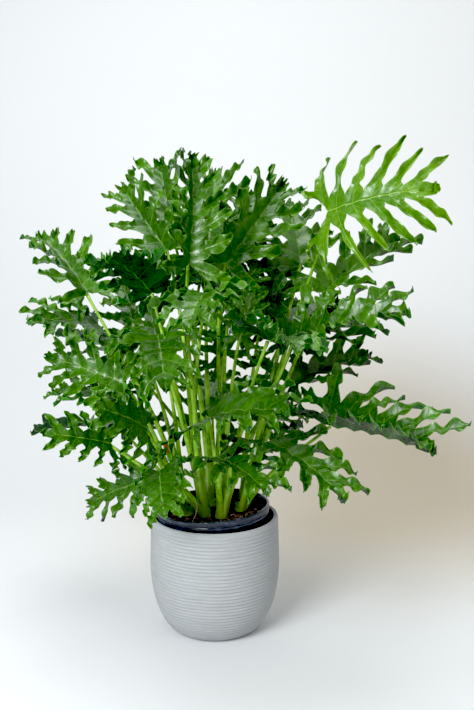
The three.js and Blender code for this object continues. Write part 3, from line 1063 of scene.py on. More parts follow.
@dataclass(frozen=True)
class Soil:
    """The potting mix in the grower's pot, lumpy on top, with bark bits on it."""

    pot: GrowerPot
    top: float = 243
    side_gap: float = 4.4
    foot: float = 4.6
    shoulder: float = 2
    lump: float = 3.5
    coarse: Pair = (28, 0.8)  # how close the larger lumps are, in a metre, and their share
    fine: Pair = (95, 0.45)
    rings: int = 40
    steps: int = 120
    bits: int = 320
    bits_seed: int = 20
    bit_reach: float = 119
    bit_sizes: Pair = (3.5, 12)
    bit_rise: float = 0.1  # share of a bit's size
    bit_turn: float = 6  # radians
    bit_lean: float = 0.5
    bit_lengths: Pair = (0.7, 1.6)  # shares of its size
    bit_heights: Pair = (0.3, 0.55)
    bit_dents: float = 0.11
    pale_bits: float = 0.45  # share of all bits
    crease: float = 30  # degrees

    def height(self, x: float, y: float) -> float:
        """Find the soil's height without its lumps.

        Args:
            x: The place on the plan, to the right.
            y: The place on the plan, to the back.

        Returns:
            The height in millimetres.
        """
        matrix = self.pot.matrix()
        point = matrix @ Vector((0, 0, self.top * MM)) / MM
        normal = matrix.to_3x3() @ UP
        return point.z - ((x - point.x) * normal.x + (y - point.y) * normal.y) / normal.z

    def surface(self, point: Vector) -> float:
        """Return how far the lumps lift the soil at a point, both in metres."""
        lumps = (share * noise.noise(point * close) for close, share in (self.coarse, self.fine))
        return self.lump * MM * sum(lumps)

    def build(self, finish: bpy.types.Material) -> bpy.types.Object:
        """Build the soil.

        Args:
            finish: Its material.

        Returns:
            The piece.
        """
        rim = self.pot.radius(self.top) - self.side_gap
        foot = self.pot.radius(self.foot) - self.side_gap
        tops = [(rim * i / self.rings, self.top) for i in range(self.rings - 1, -1, -1)]
        bm = bmesh.new()
        profile = [(0, self.foot), (foot, self.foot), (rim, self.top - self.shoulder), *tops]
        for v in spin_profile(bm, profile, self.steps):
            if v.co.z > (self.top - self.shoulder / 2) * MM:
                v.co.z += self.surface(v.co)
        bmesh.ops.transform(bm, matrix=self.pot.matrix(), verts=bm.verts)
        return finish_piece(bm, "potting_mix", [finish], "soil")

    def scatter(self, finishes: list[bpy.types.Material]) -> bpy.types.Object:
        """Strew bark bits on the soil.

        Args:
            finishes: The bits' materials, darker and paler.

        Returns:
            The piece.
        """
        draw = random.Random(self.bits_seed)
        bm = bmesh.new()
        for _ in range(self.bits):
            away = self.bit_reach * math.sqrt(draw.random())
            angle = draw.uniform(0, TURN)
            size = lerp(*self.bit_sizes, draw.random() ** 2)
            at = Vector((away * math.cos(angle), away * math.sin(angle), self.top)) * MM
            at.z += self.surface(at) + size * self.bit_rise * MM
            turn = Matrix.Rotation(draw.uniform(0, self.bit_turn), 4, "Z")
            lean = Matrix.Rotation(draw.uniform(-self.bit_lean, self.bit_lean), 4, "X")
            length, height = draw.uniform(*self.bit_lengths), draw.uniform(*self.bit_heights)
            stretch = Matrix.Diagonal((length, 1, height, 1))
            made = bmesh.ops.create_icosphere(
                bm, subdivisions=1, radius=size * MM / 2,
                matrix=self.pot.matrix() @ Matrix.Translation(at) @ turn @ lean @ stretch,
            )["verts"]
            tint = int(draw.random() < self.pale_bits)
            for v in made:
                v.co += Vector(draw.uniform(-1, 1) for _ in range(3)) * size * self.bit_dents * MM
            for face in {face for v in made for face in v.link_faces}:
                face.material_index = tint
        return finish_piece(bm, "bark_bits", finishes, crease=self.crease)


# ---- Fronds ----


class Stem(Enum):
    """The stems: each one's name, its place on the plan and its radius in millimetres."""

    LEFT = ("left", -66, 2, 18)
    MIDDLE = ("middle", -22, -20, 15)
    FRONT = ("front", 16, -34, 16)
    RIGHT = ("right", 62, 14, 17)
    BACK = ("back", -4, 56, 18)


@dataclass
class Frond:
    """One leaf with its stalk.

    hub is where the stalk meets the blade, tip is the blade's far end, face is the way its
    upper side looks and bow pushes the stalk's middle aside. broad scales the lobes' length
    and slim their width, cut is where the cuts between them end, as a share of their length,
    fold and arch are in degrees and sag bends the sides down.
    """

    number: int
    stem: Stem
    hub: Triple
    tip: Triple
    face: Triple
    lobes: int = 6
    broad: float = 1.0
    slim: float = 1.0
    fold: float = 20
    arch: float = 30
    cut: float = 0.24
    bow: Triple = (0, 0, 0)
    tone: Tone = Tone.GREEN
    sag: float = 0.35
    length: float = field(init=False)  # metres, along the arch
    left: Vector = field(init=False)
    forward: Vector = field(init=False)
    normal: Vector = field(init=False)

    def __post_init__(self) -> None:
        """Work out the blade's length and its directions at the hub."""
        chord = (Vector(self.tip) - Vector(self.hub)) * MM
        half = math.radians(self.arch) / 2
        ahead = chord.normalized()
        face = Vector(self.face)
        face = (face - ahead * face.dot(ahead)).normalized()
        self.length = chord.length * half / math.sin(half)
        self.left = face.cross(ahead)
        self.forward = ahead * math.cos(half) + face * math.sin(half)
        self.normal = face * math.cos(half) - ahead * math.sin(half)

    def place(self, along: float, across: float, off: float) -> Vector:
        """Bend a point of the flat blade into space.

        Args:
            along: From the hub towards the tip, as a share of the blade's length.
            across: To the left of the midrib.
            off: Above the blade.

        Returns:
            The place in metres.
        """
        arch = math.radians(self.arch)
        fold = math.radians(self.fold)
        out = abs(across)
        radius = 1 / arch + out * math.sin(fold) - self.sag * out * out + off
        turn = arch * along
        return (
            Vector(self.hub) * MM
            + self.forward * (self.length * radius * math.sin(turn))
            + self.normal * (self.length * (radius * math.cos(turn) - 1 / arch))
            + self.left * (self.length * across * math.cos(fold))
        )


FRONDS = (
    Frond(
        1, Stem.LEFT, (-300, 20, 820), (-440, 160, 950), (0.5, -0.8, 0.5),
        broad=0.9, fold=30, bow=(30, -60, 0),
    ),
    Frond(
        2, Stem.LEFT, (-280, 80, 730), (-410, -140, 770), (0.6, -0.4, 0.9),
        broad=0.8, fold=10, bow=(0, -30, 0), tone=Tone.LIT,
    ),
    Frond(3, Stem.LEFT, (-190, 150, 680), (-250, 300, 830), (-0.2, -0.8, 0.5), tone=Tone.OLD_AND_SHADED),
    Frond(
        4, Stem.MIDDLE, (-140, -50, 825), (-220, -250, 920), (-0.1, 0.5, 0.8),
        broad=1.05, cut=0.4, bow=(0, -40, 0),
    ),
    Frond(
        5, Stem.MIDDLE, (-110, 0, 920), (-230, 150, 1070), (-0.3, -0.9, 0.4),
        broad=0.95, fold=35, bow=(-10, -40, 0),
    ),
    Frond(6, Stem.BACK, (-100, 150, 930), (-150, 340, 1140), (-0.2, -0.8, 0.6), fold=30, arch=10),
    Frond(
        7, Stem.MIDDLE, (-50, -150, 900), (-50, -50, 1140), (0.5, -0.9, 0.3),
        lobes=7, broad=0.8, fold=40,
    ),
    Frond(8, Stem.BACK, (-20, 50, 880), (0, 250, 1110), (0.1, -0.9, 0.4), fold=35, tone=Tone.OLD_AND_SHADED),
    Frond(
        9, Stem.FRONT, (30, -10, 890), (170, 180, 1080), (0.4, -0.7, 0.5),
        broad=0.9, fold=40, bow=(0, -30, 0),
    ),
    Frond(10, Stem.FRONT, (40, -30, 800), (110, 30, 890), (0.3, -0.6, 0.6), tone=Tone.OLD_AND_SHADED),
    Frond(11, Stem.RIGHT, (120, 110, 760), (170, 260, 910), (0.3, -0.7, 0.6), tone=Tone.OLD_AND_SHADED),
    Frond(
        12, Stem.FRONT, (60, -130, 730), (90, -110, 840), (0.2, -0.9, 0.4),
        broad=1.15, fold=0, tone=Tone.OLD_AND_SHADED,
    ),
    Frond(
        13, Stem.RIGHT, (260, -60, 1010), (490, -160, 1060), (0, -0.9, 0.4),
        lobes=7, broad=1.25, slim=0.65, fold=10, arch=45, cut=0.16, bow=(0, 30, 0), tone=Tone.YOUNG,
    ),
    Frond(14, Stem.RIGHT, (210, 110, 880), (180, 330, 1030), (0.2, -0.8, 0.5), bow=(0, -50, 0)),
    Frond(
        15, Stem.RIGHT, (260, 60, 815), (470, 190, 940), (-0.4, -0.8, 0.6),
        fold=40, bow=(0, -30, 0),
    ),
    Frond(
        16, Stem.FRONT, (180, -30, 710), (430, -180, 795), (0, -0.5, 0.8),
        lobes=7, broad=0.9, fold=35,
    ),
    Frond(
        17, Stem.RIGHT, (190, 120, 580), (400, 220, 640), (0, -0.6, 0.8),
        fold=40, tone=Tone.OLD_AND_SHADED,
    ),
    Frond(
        18, Stem.RIGHT, (270, -50, 515), (480, -250, 500), (0.1, -0.3, 1),
        lobes=7, broad=1.35, fold=50, arch=15, cut=0.3,
    ),
    Frond(19, Stem.RIGHT, (130, -150, 500), (280, -330, 420), (0.4, -0.7, 0.6), tone=Tone.OLD_AND_SHADED),
    Frond(
        20, Stem.LEFT, (-210, -60, 620), (-400, 10, 670), (-0.3, -0.8, 0.4),
        bow=(0, -20, 0), tone=Tone.LIT,
    ),
    Frond(
        21, Stem.LEFT, (-240, 40, 560), (-410, 110, 560), (0.1, -0.4, 0.9),
        broad=0.9, tone=Tone.LIT,
    ),
    Frond(
        22, Stem.MIDDLE, (-240, -80, 480), (-380, -180, 530), (-0.3, -0.9, 0.4),
        broad=0.85, slim=0.85, bow=(0, -40, 0),
    ),
    Frond(
        23, Stem.LEFT, (-150, -60, 390), (-310, 20, 300), (-0.4, -0.7, 0.4),
        broad=0.85, tone=Tone.OLD_AND_SHADED,
    ),
    Frond(
        24, Stem.MIDDLE, (-120, -135, 430), (-100, -260, 360), (-0.2, -1, 0.3),
        broad=1.1, slim=1.4, fold=10, cut=0.5, tone=Tone.LIT,
    ),
    Frond(
        25, Stem.FRONT, (-10, -180, 560), (160, -340, 610), (0, -0.5, 0.9),
        broad=1.15, cut=0.45,
    ),
    Frond(
        26, Stem.FRONT, (20, 30, 670), (-30, 40, 810), (0.3, -0.9, 0.5),
        broad=1.1, tone=Tone.OLD_AND_SHADED,
    ),
    Frond(
        27, Stem.MIDDLE, (-120, -150, 740), (-90, -330, 650), (0, -0.6, 0.9),
        broad=1.15, cut=0.35,
    ),
    Frond(28, Stem.FRONT, (10, -170, 470), (120, -350, 440), (0.2, -0.6, 0.7)),
    Frond(
        29, Stem.LEFT, (-120, 40, 640), (-170, 190, 780), (-0.2, -0.9, 0.6),
        broad=1.15, tone=Tone.OLD_AND_SHADED,
    ),
    Frond(30, Stem.FRONT, (120, -220, 740), (170, -440, 750), (0.4, -0.4, 0.8), fold=30),
    Frond(
        31, Stem.BACK, (60, 240, 890), (90, 420, 1060), (0.3, -0.8, 0.5),
        broad=0.9, tone=Tone.OLD_AND_SHADED,
    ),
    Frond(
        32, Stem.LEFT, (-150, -140, 530), (-250, -280, 610), (0.1, -0.8, 0.5),
        fold=10, cut=0.35, tone=Tone.LIT,
    ),
    Frond(33, Stem.MIDDLE, (-10, -220, 840), (-40, -440, 790), (-0.2, -0.5, 0.8), bow=(-40, 0, 0)),
    Frond(34, Stem.RIGHT, (200, 180, 680), (410, 400, 690), (0, -0.4, 1)),
    Frond(
        35, Stem.BACK, (-240, 230, 630), (-390, 440, 670), (-0.2, 0.3, 0.9),
        fold=10, bow=(40, 0, 0), tone=Tone.OLD_AND_SHADED,
    ),
    Frond(36, Stem.BACK, (-40, 230, 820), (-30, 460, 980), (0.2, 0.7, 0.7), tone=Tone.OLD_AND_SHADED),
    Frond(37, Stem.BACK, (180, 180, 720), (350, 410, 750), (0.3, 0.4, 0.8), tone=Tone.OLD_AND_SHADED),
    Frond(
        38, Stem.BACK, (-10, 200, 480), (-20, 400, 560), (0, -0.8, 0.6),
        broad=1.2, tone=Tone.OLD_AND_SHADED,
    ),
    Frond(
        39, Stem.BACK, (110, 180, 470), (210, 350, 480), (0.2, -0.8, 0.6),
        broad=1.2, tone=Tone.OLD_AND_SHADED,
    ),
    Frond(40, Stem.LEFT, (-230, 130, 460), (-450, 310, 410), (-0.4, 0.4, 0.9), tone=Tone.OLD_AND_SHADED),
)


@dataclass(frozen=True)
class Lobe:
    """A finger of a blade on one side, flat: its vein's line, its width and its bends.

    Lengths are shares of the blade's length. cut is where the cuts beside the lobe end and
    free where it starts to bend and wave, as shares of the lobe's length.
    """

    side: int
    start: Pair
    cut: float
    angle: float
    reach: float
    width: float
    lift: float
    curl: float
    twist: float
    ruffle: float
    free: float = 0.4
    hook: float = 0.12
    wave: float = 0.4
    wave_rise: float = 3  # how soon past free the wave is full

    def point(self, t: float, lateral: float) -> Triple:
        """Return a point on the lobe.

        Args:
            t: How far along its vein, as a share.
            lateral: How far aside of it, as a share of its width.

        Returns:
            The place on the flat blade: along, across and off it.
        """
        dir_x, dir_y = math.cos(self.angle), self.side * math.sin(self.angle)
        out = self.reach * t
        half = self.width * lateral
        along = self.start[0] + dir_x * out + self.hook * self.reach * t * t
        along += self.side * dir_y * half
        across = self.start[1] + dir_y * out - self.side * dir_x * half
        free = max(0.0, (t - self.free) / (1 - self.free))
        bend = self.reach * (1 - self.free) * free * (self.lift - self.curl * free)
        wave = self.wave * self.ruffle * math.cos(TURN * t) * min(1.0, self.wave_rise * free)
        return along, across, bend + half * (math.sin(self.twist) * free + wave)


@dataclass(frozen=True)
class EndLobe:
    """The lobe at the blade's end, past the last pair of side lobes."""

    root: float = 0.82
    belly: float = 0.93
    width: float = 0.056
    cup: float = 0.01
    cut: float = 0.4
    reach: float = 0.18

    def point(self, t: float, lateral: float) -> Triple:
        """Return a point on the lobe.

        Args:
            t: How far along the midrib, as a share of the lobe.
            lateral: How far aside of it, as a share of the lobe's width.

        Returns:
            The place on the flat blade: along, across and off it.
        """
        share = (t - self.cut) / (1 - self.cut)
        if share < 0:
            along = lerp(self.root, self.belly, t / self.cut)
        else:
            along = lerp(self.belly, 1, share)
        rise = self.cup * abs(lateral) * (1 - max(0.0, share))
        return along, self.width * lateral, rise


@dataclass(frozen=True)
class LobeGrid:
    """A lobe's part of the blade, from its rib out to its tip, as a grid.

    knots are the rib's points at its root and valleys the ends of the cuts beside it, each
    pair on the side towards the blade's tip first. widths gives the lobe's width from the
    cut to its tip. Heights of its folds and frills are shares of its width, and a pair of a
    number and its spread gives a number that the seed varies by up to the spread.
    """

    lobe: Lobe | EndLobe
    knots: tuple[Pair, Pair]
    valleys: tuple[Triple, Triple]
    widths: tuple[Pair, ...]
    seed: float
    bulge: Pair = (0.14, 0.06)
    bulges: Pair = (2.3, 0.6)
    bulge_start: float = 0.15  # share of the free lobe over which the bulges start
    bulge_end: float = 0.12
    settle: float = 0.16  # share of the lobe over which its edge leaves the cut
    frill: float = 0.5
    frills: Pair = (2.2, 0.7)
    frill_phase: Pair = (2.3, 2.4)  # for each seed, and between the two edges
    sway: float = 0.25
    sways: float = 1.1
    loosen: float = 0.25  # share of the free lobe over which the frills start
    channel: Pair = (0.75, 0.3)  # how deep the lobe is folded along its vein
    root_channel: float = 0.4
    channel_power: float = 1.3
    columns: tuple[float, ...] = (-1, -0.76, -0.46, -0.16, 0, 0.16, 0.46, 0.76, 1)
    inner_rows: tuple[float, ...] = (0, 0.05, 0.15, 0.35, 0.62, 0.82)
    outer_rows: int = 28
    row_power: float = 0.92  # under 1, the rows lie closer at the tip

    def vary(self, pair: Pair, index: float) -> float:
        """Return a number with its spread, varied by one of the seed's draws."""
        return pair[0] + pair[1] * jitter(self.seed, index)

    def rows(self) -> list[float]:
        """Lay out the rows.

        Returns:
            Their shares of the lobe's length.
        """
        count, cut = self.outer_rows, self.lobe.cut
        outer = [lerp(cut, 1, (i / count) ** self.row_power) for i in range(count + 1)]
        return [*(share * cut for share in self.inner_rows), *outer]

    def free(self, t: float) -> float:
        """Return how far past the cut a row lies, from 0 to 1 at the tip."""
        return max(0.0, (t - self.lobe.cut) / (1 - self.lobe.cut))

    def edge(self, t: float, hand: int) -> Triple:
        """Return the free lobe's edge, with its rounded bulges.

        Args:
            t: How far along the lobe.
            hand: 0 towards the blade's tip or 1 away from it.

        Returns:
            The place: along, across and off the flat blade.
        """
        free = self.free(t)
        count = self.vary(self.bulges, hand + Draw.BULGES)
        swing = abs(math.sin(math.pi * (count * free + jitter(self.seed, hand + Draw.BULGE_PHASE))))
        fade = ease(free / self.bulge_start) * ease((1 - free) / self.bulge_end)
        depth = self.vary(self.bulge, Draw.BULGE)
        width = profile_at(self.widths, free) * (1 + depth * (2 * swing - 1) * fade)
        return self.lobe.point(t, width if hand == 0 else -width)

    def margin(self, t: float, hand: int) -> Triple:
        """Follow the margin from the rib along the cut to the tip.

        Args:
            t: How far along the lobe.
            hand: 0 towards the blade's tip or 1 away from it.

        Returns:
            The place: along, across and off the flat blade.
        """
        knot, valley = self.knots[hand], self.valleys[hand]
        cut = self.lobe.cut
        if t <= cut:
            return tuple(lerp(k, v, t / cut) for k, v in zip((*knot, 0), valley))
        fade = 1 - ease((t - cut) / self.settle)
        free, root = self.edge(t, hand), self.edge(cut, hand)
        return tuple(f + (v - r) * fade for f, v, r in zip(free, valley, root))

    def flat(self, t: float, lateral: float) -> Triple:
        """Return a point of the flat blade.

        Args:
            t: How far along the lobe.
            lateral: How far aside of its vein, from 1 towards the blade's tip to -1.

        Returns:
            The place: along, across and off it.
        """
        aside = abs(lateral)
        width = self.lobe.width
        edge = self.margin(t, 0 if lateral > 0 else 1)
        along, across, off = (lerp(m, e, aside) for m, e in zip(self.lobe.point(t, 0), edge))
        free = self.free(t)
        loose = ease(free / self.loosen)
        by_seed, by_edge = self.frill_phase
        phase = by_seed * self.seed + (by_edge if lateral > 0 else 0)
        frills = self.vary(self.frills, Draw.FRILLS)
        off += self.frill * width * aside**2 * loose * math.sin(TURN * frills * free + phase)
        off += self.sway * width * loose * math.sin(TURN * self.sways * free + self.seed)
        channel = lerp(self.root_channel, self.vary(self.channel, Draw.CHANNEL), loose)
        off -= channel * width * (1 - aside) ** self.channel_power
        return along, across, off


@dataclass
class Blade:
    """A leaf's lobed, veined and waved blade.

    The lobes' and ribs' lengths and places are shares of the blade's length. A spread is how
    much a draw may add to a number or take from it.
    """

    frond: Frond
    thickness: float = 0.8
    seed_steps: Pair = (7, 1.7)  # from frond to frond and from lobe to lobe
    terminal: float = 0.82  # where the end lobe starts
    shoulder: Pair = (0.92, 0.08)  # beside it, along and across
    notch: float = 0.04  # how far the cuts' bottoms are drawn to the rib
    lobe_lean: Pair = (78, 42)  # degrees from the midrib at the hub, and how much less ahead
    lean_spread: float = 4
    lobe_reach: float = 0.5
    reach_loss: Pair = (0.5, 1.4)  # towards the tip, and its power
    reach_spread: float = 0.1
    lobe_width: float = 0.056
    last_width: float = 0.85
    width_spread: float = 0.15
    lift_spread: float = 0.2
    curl: Pair = (0.18, 0.14)  # with its spread
    twist_spread: float = 0.7
    basal_lobes: int = 2
    basal_rib: float = 0.22
    basal_rib_lean: float = 124  # degrees
    basal_cut: float = 0.4
    basal_lean: Pair = (104, 42)  # the first one's, and how much more the next one's
    basal_reach: Pair = (0.9, 0.24)  # the same, and how much less
    vein_height: float = 1.3  # of the ridge below a lobe's vein
    vein_width: float = 1.6
    vein_least: float = 0.2  # share of the height that reaches the lobe's tip
    vein_run: float = 160
    rib_height: float = 1.8
    rib_width: float = 2.4
    crease: float = 60  # degrees
    long_widths: tuple[Pair, ...] = (
        (0, 0.8), (0.16, 0.95), (0.29, 1), (0.5, 0.97), (0.74, 0.86), (0.87, 0.64), (0.95, 0.4),
        (0.985, 0.2), (1, 0),
    )
    short_widths: tuple[Pair, ...] = (
        (0, 0.76), (0.28, 0.93), (0.47, 0.98), (0.68, 0.84), (0.84, 0.6), (0.94, 0.36),
        (0.985, 0.18), (1, 0),
    )
    end_widths: tuple[Pair, ...] = (
        (0, 0.9), (0.3, 1), (0.6, 0.8), (0.85, 0.45), (0.97, 0.2), (1, 0),
    )
    grids: list[LobeGrid] = field(init=False)

    def __post_init__(self) -> None:
        """Plan the lobes of both sides and the end lobe."""
        self.grids = []
        corners = []
        by_frond, by_lobe = self.seed_steps
        seed = self.frond.number * by_frond
        for side in (1, -1):
            knots = self.knots(side)
            lobes = [self.lobe(side, i, knots) for i in range(self.frond.lobes)]
            ends = self.valleys(side, knots, lobes)
            corners.append(ends[0])
            for i, lobe in enumerate(lobes):
                short = i == 0 or i >= self.frond.lobes - self.basal_lobes
                widths = self.short_widths if short else self.long_widths
                pairs = (knots[i], knots[i + 1]), (ends[i], ends[i + 1])
                self.grids.append(LobeGrid(lobe, *pairs, widths, seed + i * by_lobe + side))
        root = (self.terminal, 0)
        end = LobeGrid(EndLobe(), (root, root), tuple(corners), self.end_widths, seed + 0.5)
        self.grids.append(end)

    def knots(self, side: int) -> list[Pair]:
        """Place the points on the ribs that a side's lobes start between.

        Args:
            side: 1 for the left of the midrib, -1 for the right.

        Returns:
            The points along and across the flat blade, tip first.
        """
        on_midrib = self.frond.lobes - self.basal_lobes
        points = [(self.terminal * (1 - i / on_midrib), 0) for i in range(on_midrib + 1)]
        lean = math.radians(self.basal_rib_lean)
        for i in range(1, self.basal_lobes + 1):
            out = self.basal_rib * i / self.basal_lobes
            points.append((out * math.cos(lean), side * out * math.sin(lean)))
        return points

    def lobe(self, side: int, i: int, knots: list[Pair]) -> Lobe:
        """Plan a lobe.

        Args:
            side: 1 for the left of the midrib, -1 for the right.
            i: Its number, from the blade's tip.
            knots: The side's points on the ribs.

        Returns:
            The lobe.
        """
        draw = self.frond.number * 2 + (0 if side > 0 else 1)
        count = self.frond.lobes
        start = tuple((a + b) / 2 for a, b in zip(knots[i], knots[i + 1]))
        basal = i - (count - self.basal_lobes)
        cut = self.frond.cut
        if basal < 0:
            lean = self.lobe_lean[0] - self.lobe_lean[1] * start[0]
            reach = 1 - self.reach_loss[0] * max(0, start[0]) ** self.reach_loss[1]
        else:
            cut = max(cut, self.basal_cut)
            lean = self.basal_lean[0] + self.basal_lean[1] * basal
            reach = self.basal_reach[0] - self.basal_reach[1] * basal
        reach *= 1 + self.reach_spread * jitter(draw, i + Draw.REACH)
        width = self.lobe_width * self.frond.slim * (self.last_width if i == count - 1 else 1)
        return Lobe(
            side,
            start,
            cut,
            angle=math.radians(lean + self.lean_spread * jitter(draw, i + Draw.LEAN)),
            reach=self.lobe_reach * self.frond.broad * reach,
            width=width * (1 + self.width_spread * jitter(draw, i + Draw.WIDTH)),
            lift=self.lift_spread * jitter(draw, i + Draw.LIFT),
            curl=self.curl[0] + self.curl[1] * jitter(draw, i + Draw.CURL),
            twist=self.twist_spread * jitter(draw, i + Draw.TWIST),
            ruffle=jitter(draw, i + Draw.RUFFLE),
        )

    def valleys(self, side: int, knots: list[Pair], lobes: list[Lobe]) -> list[Triple]:
        """Place the ends of the cuts on both sides of each lobe.

        Args:
            side: 1 for the left of the midrib, -1 for the right.
            knots: The side's points on the ribs.
            lobes: The side's lobes.

        Returns:
            The ends on the flat blade, tip first.
        """
        first, last = lobes[0], lobes[-1]
        vein = first.point(first.cut, 0)
        points = [((vein[0] + self.shoulder[0]) / 2, (vein[1] + side * self.shoulder[1]) / 2, 0)]
        for knot, before, after in zip(knots[1:], lobes, lobes[1:]):
            cut = min(before.cut, after.cut)
            bottom = [(a + b) / 2 for a, b in zip(before.point(cut, 0)[:2], after.point(cut, 0))]
            points.append((*(b + self.notch * (k - b) for b, k in zip(bottom, knot)), 0))
        points.append(last.point(last.cut, -1))
        return points

    def ridge(self, aside: float, along: float) -> float:
        """Tell how far the veins stand out below the blade.

        Args:
            aside: The way from the lobe's vein, in millimetres.
            along: The way from the rib at the lobe's root.

        Returns:
            The height of the ridge in millimetres.
        """
        fade = max(self.vein_least, 1 - along / self.vein_run)
        vein = self.vein_height * bump(aside, self.vein_width) * fade
        return max(vein, self.rib_height * bump(along, self.rib_width))

    def lay(self, bm: bmesh.types.BMesh, grid: LobeGrid) -> None:
        """Add a lobe to the blade's upper surface.

        Args:
            bm: The blade's mesh.
            grid: The lobe.
        """
        rows, columns = grid.rows(), grid.columns
        length = self.frond.length / MM
        lift = self.thickness / 2 / length
        lobe_uv = bm.loops.layers.uv["lobe"]
        margin_uv = bm.loops.layers.uv["margin"]
        depth = bm.verts.layers.float["rib"]

        def put(column: int, row: int) -> Vector:
            """Return a point of the lobe's upper surface, in metres."""
            along, across, off = grid.flat(rows[row], columns[column])
            return self.frond.place(along, across, off + lift)

        def mark(loop: bmesh.types.BMLoop, column: int, row: int) -> None:
            """Write a corner's place on the lobe and how near its margin is.

            Args:
                loop: The corner.
                column: Its column.
                row: Its row.
            """
            t, lateral = rows[row], columns[column]
            middle, edge = grid.flat(t, 0), grid.flat(t, math.copysign(1, lateral))
            aside = math.dist(middle[:2], edge[:2]) * lateral * length
            loop[lobe_uv].uv = (aside / LOBE_UNIT, t * grid.lobe.reach * length / LOBE_UNIT)
            loop[margin_uv].uv = (abs(lateral), grid.free(t))

        _, faces = map_grid(bm, len(columns) - 1, len(rows) - 1, put, mark)
        for face in faces:
            face.normal_update()
            for loop in face.loops:
                ridge = self.ridge(*(place * LOBE_UNIT for place in loop[lobe_uv].uv))
                loop.vert[depth] = max(loop.vert[depth], ridge)
        upper = sum((face.calc_area() * face.normal for face in faces), Vector())
        if upper.dot(self.frond.normal) < 0:
            bmesh.ops.reverse_faces(bm, faces=faces)

    def build(self, upper: bpy.types.Material, under: bpy.types.Material) -> bpy.types.Object:
        """Build the blade.

        Args:
            upper: The upper face's material.
            under: The underside's material.

        Returns:
            The piece.
        """
        bm = bmesh.new()
        bm.loops.layers.uv.new("lobe")
        bm.loops.layers.uv.new("margin")
        depth = bm.verts.layers.float.new("rib")
        for grid in self.grids:
            self.lay(bm, grid)
        bmesh.ops.remove_doubles(bm, verts=bm.verts, dist=WELD)
        bmesh.ops.dissolve_degenerate(bm, edges=bm.edges, dist=WELD)
        for face in thicken(bm, lambda v: self.thickness + v[depth]):
            face.material_index = 1
        name = f"{self.frond.number:02d}"
        return finish_piece(
            bm, "leaf_" + name, [upper, under], "blade_" + name, self.crease
        )


# ---- Stalks ----


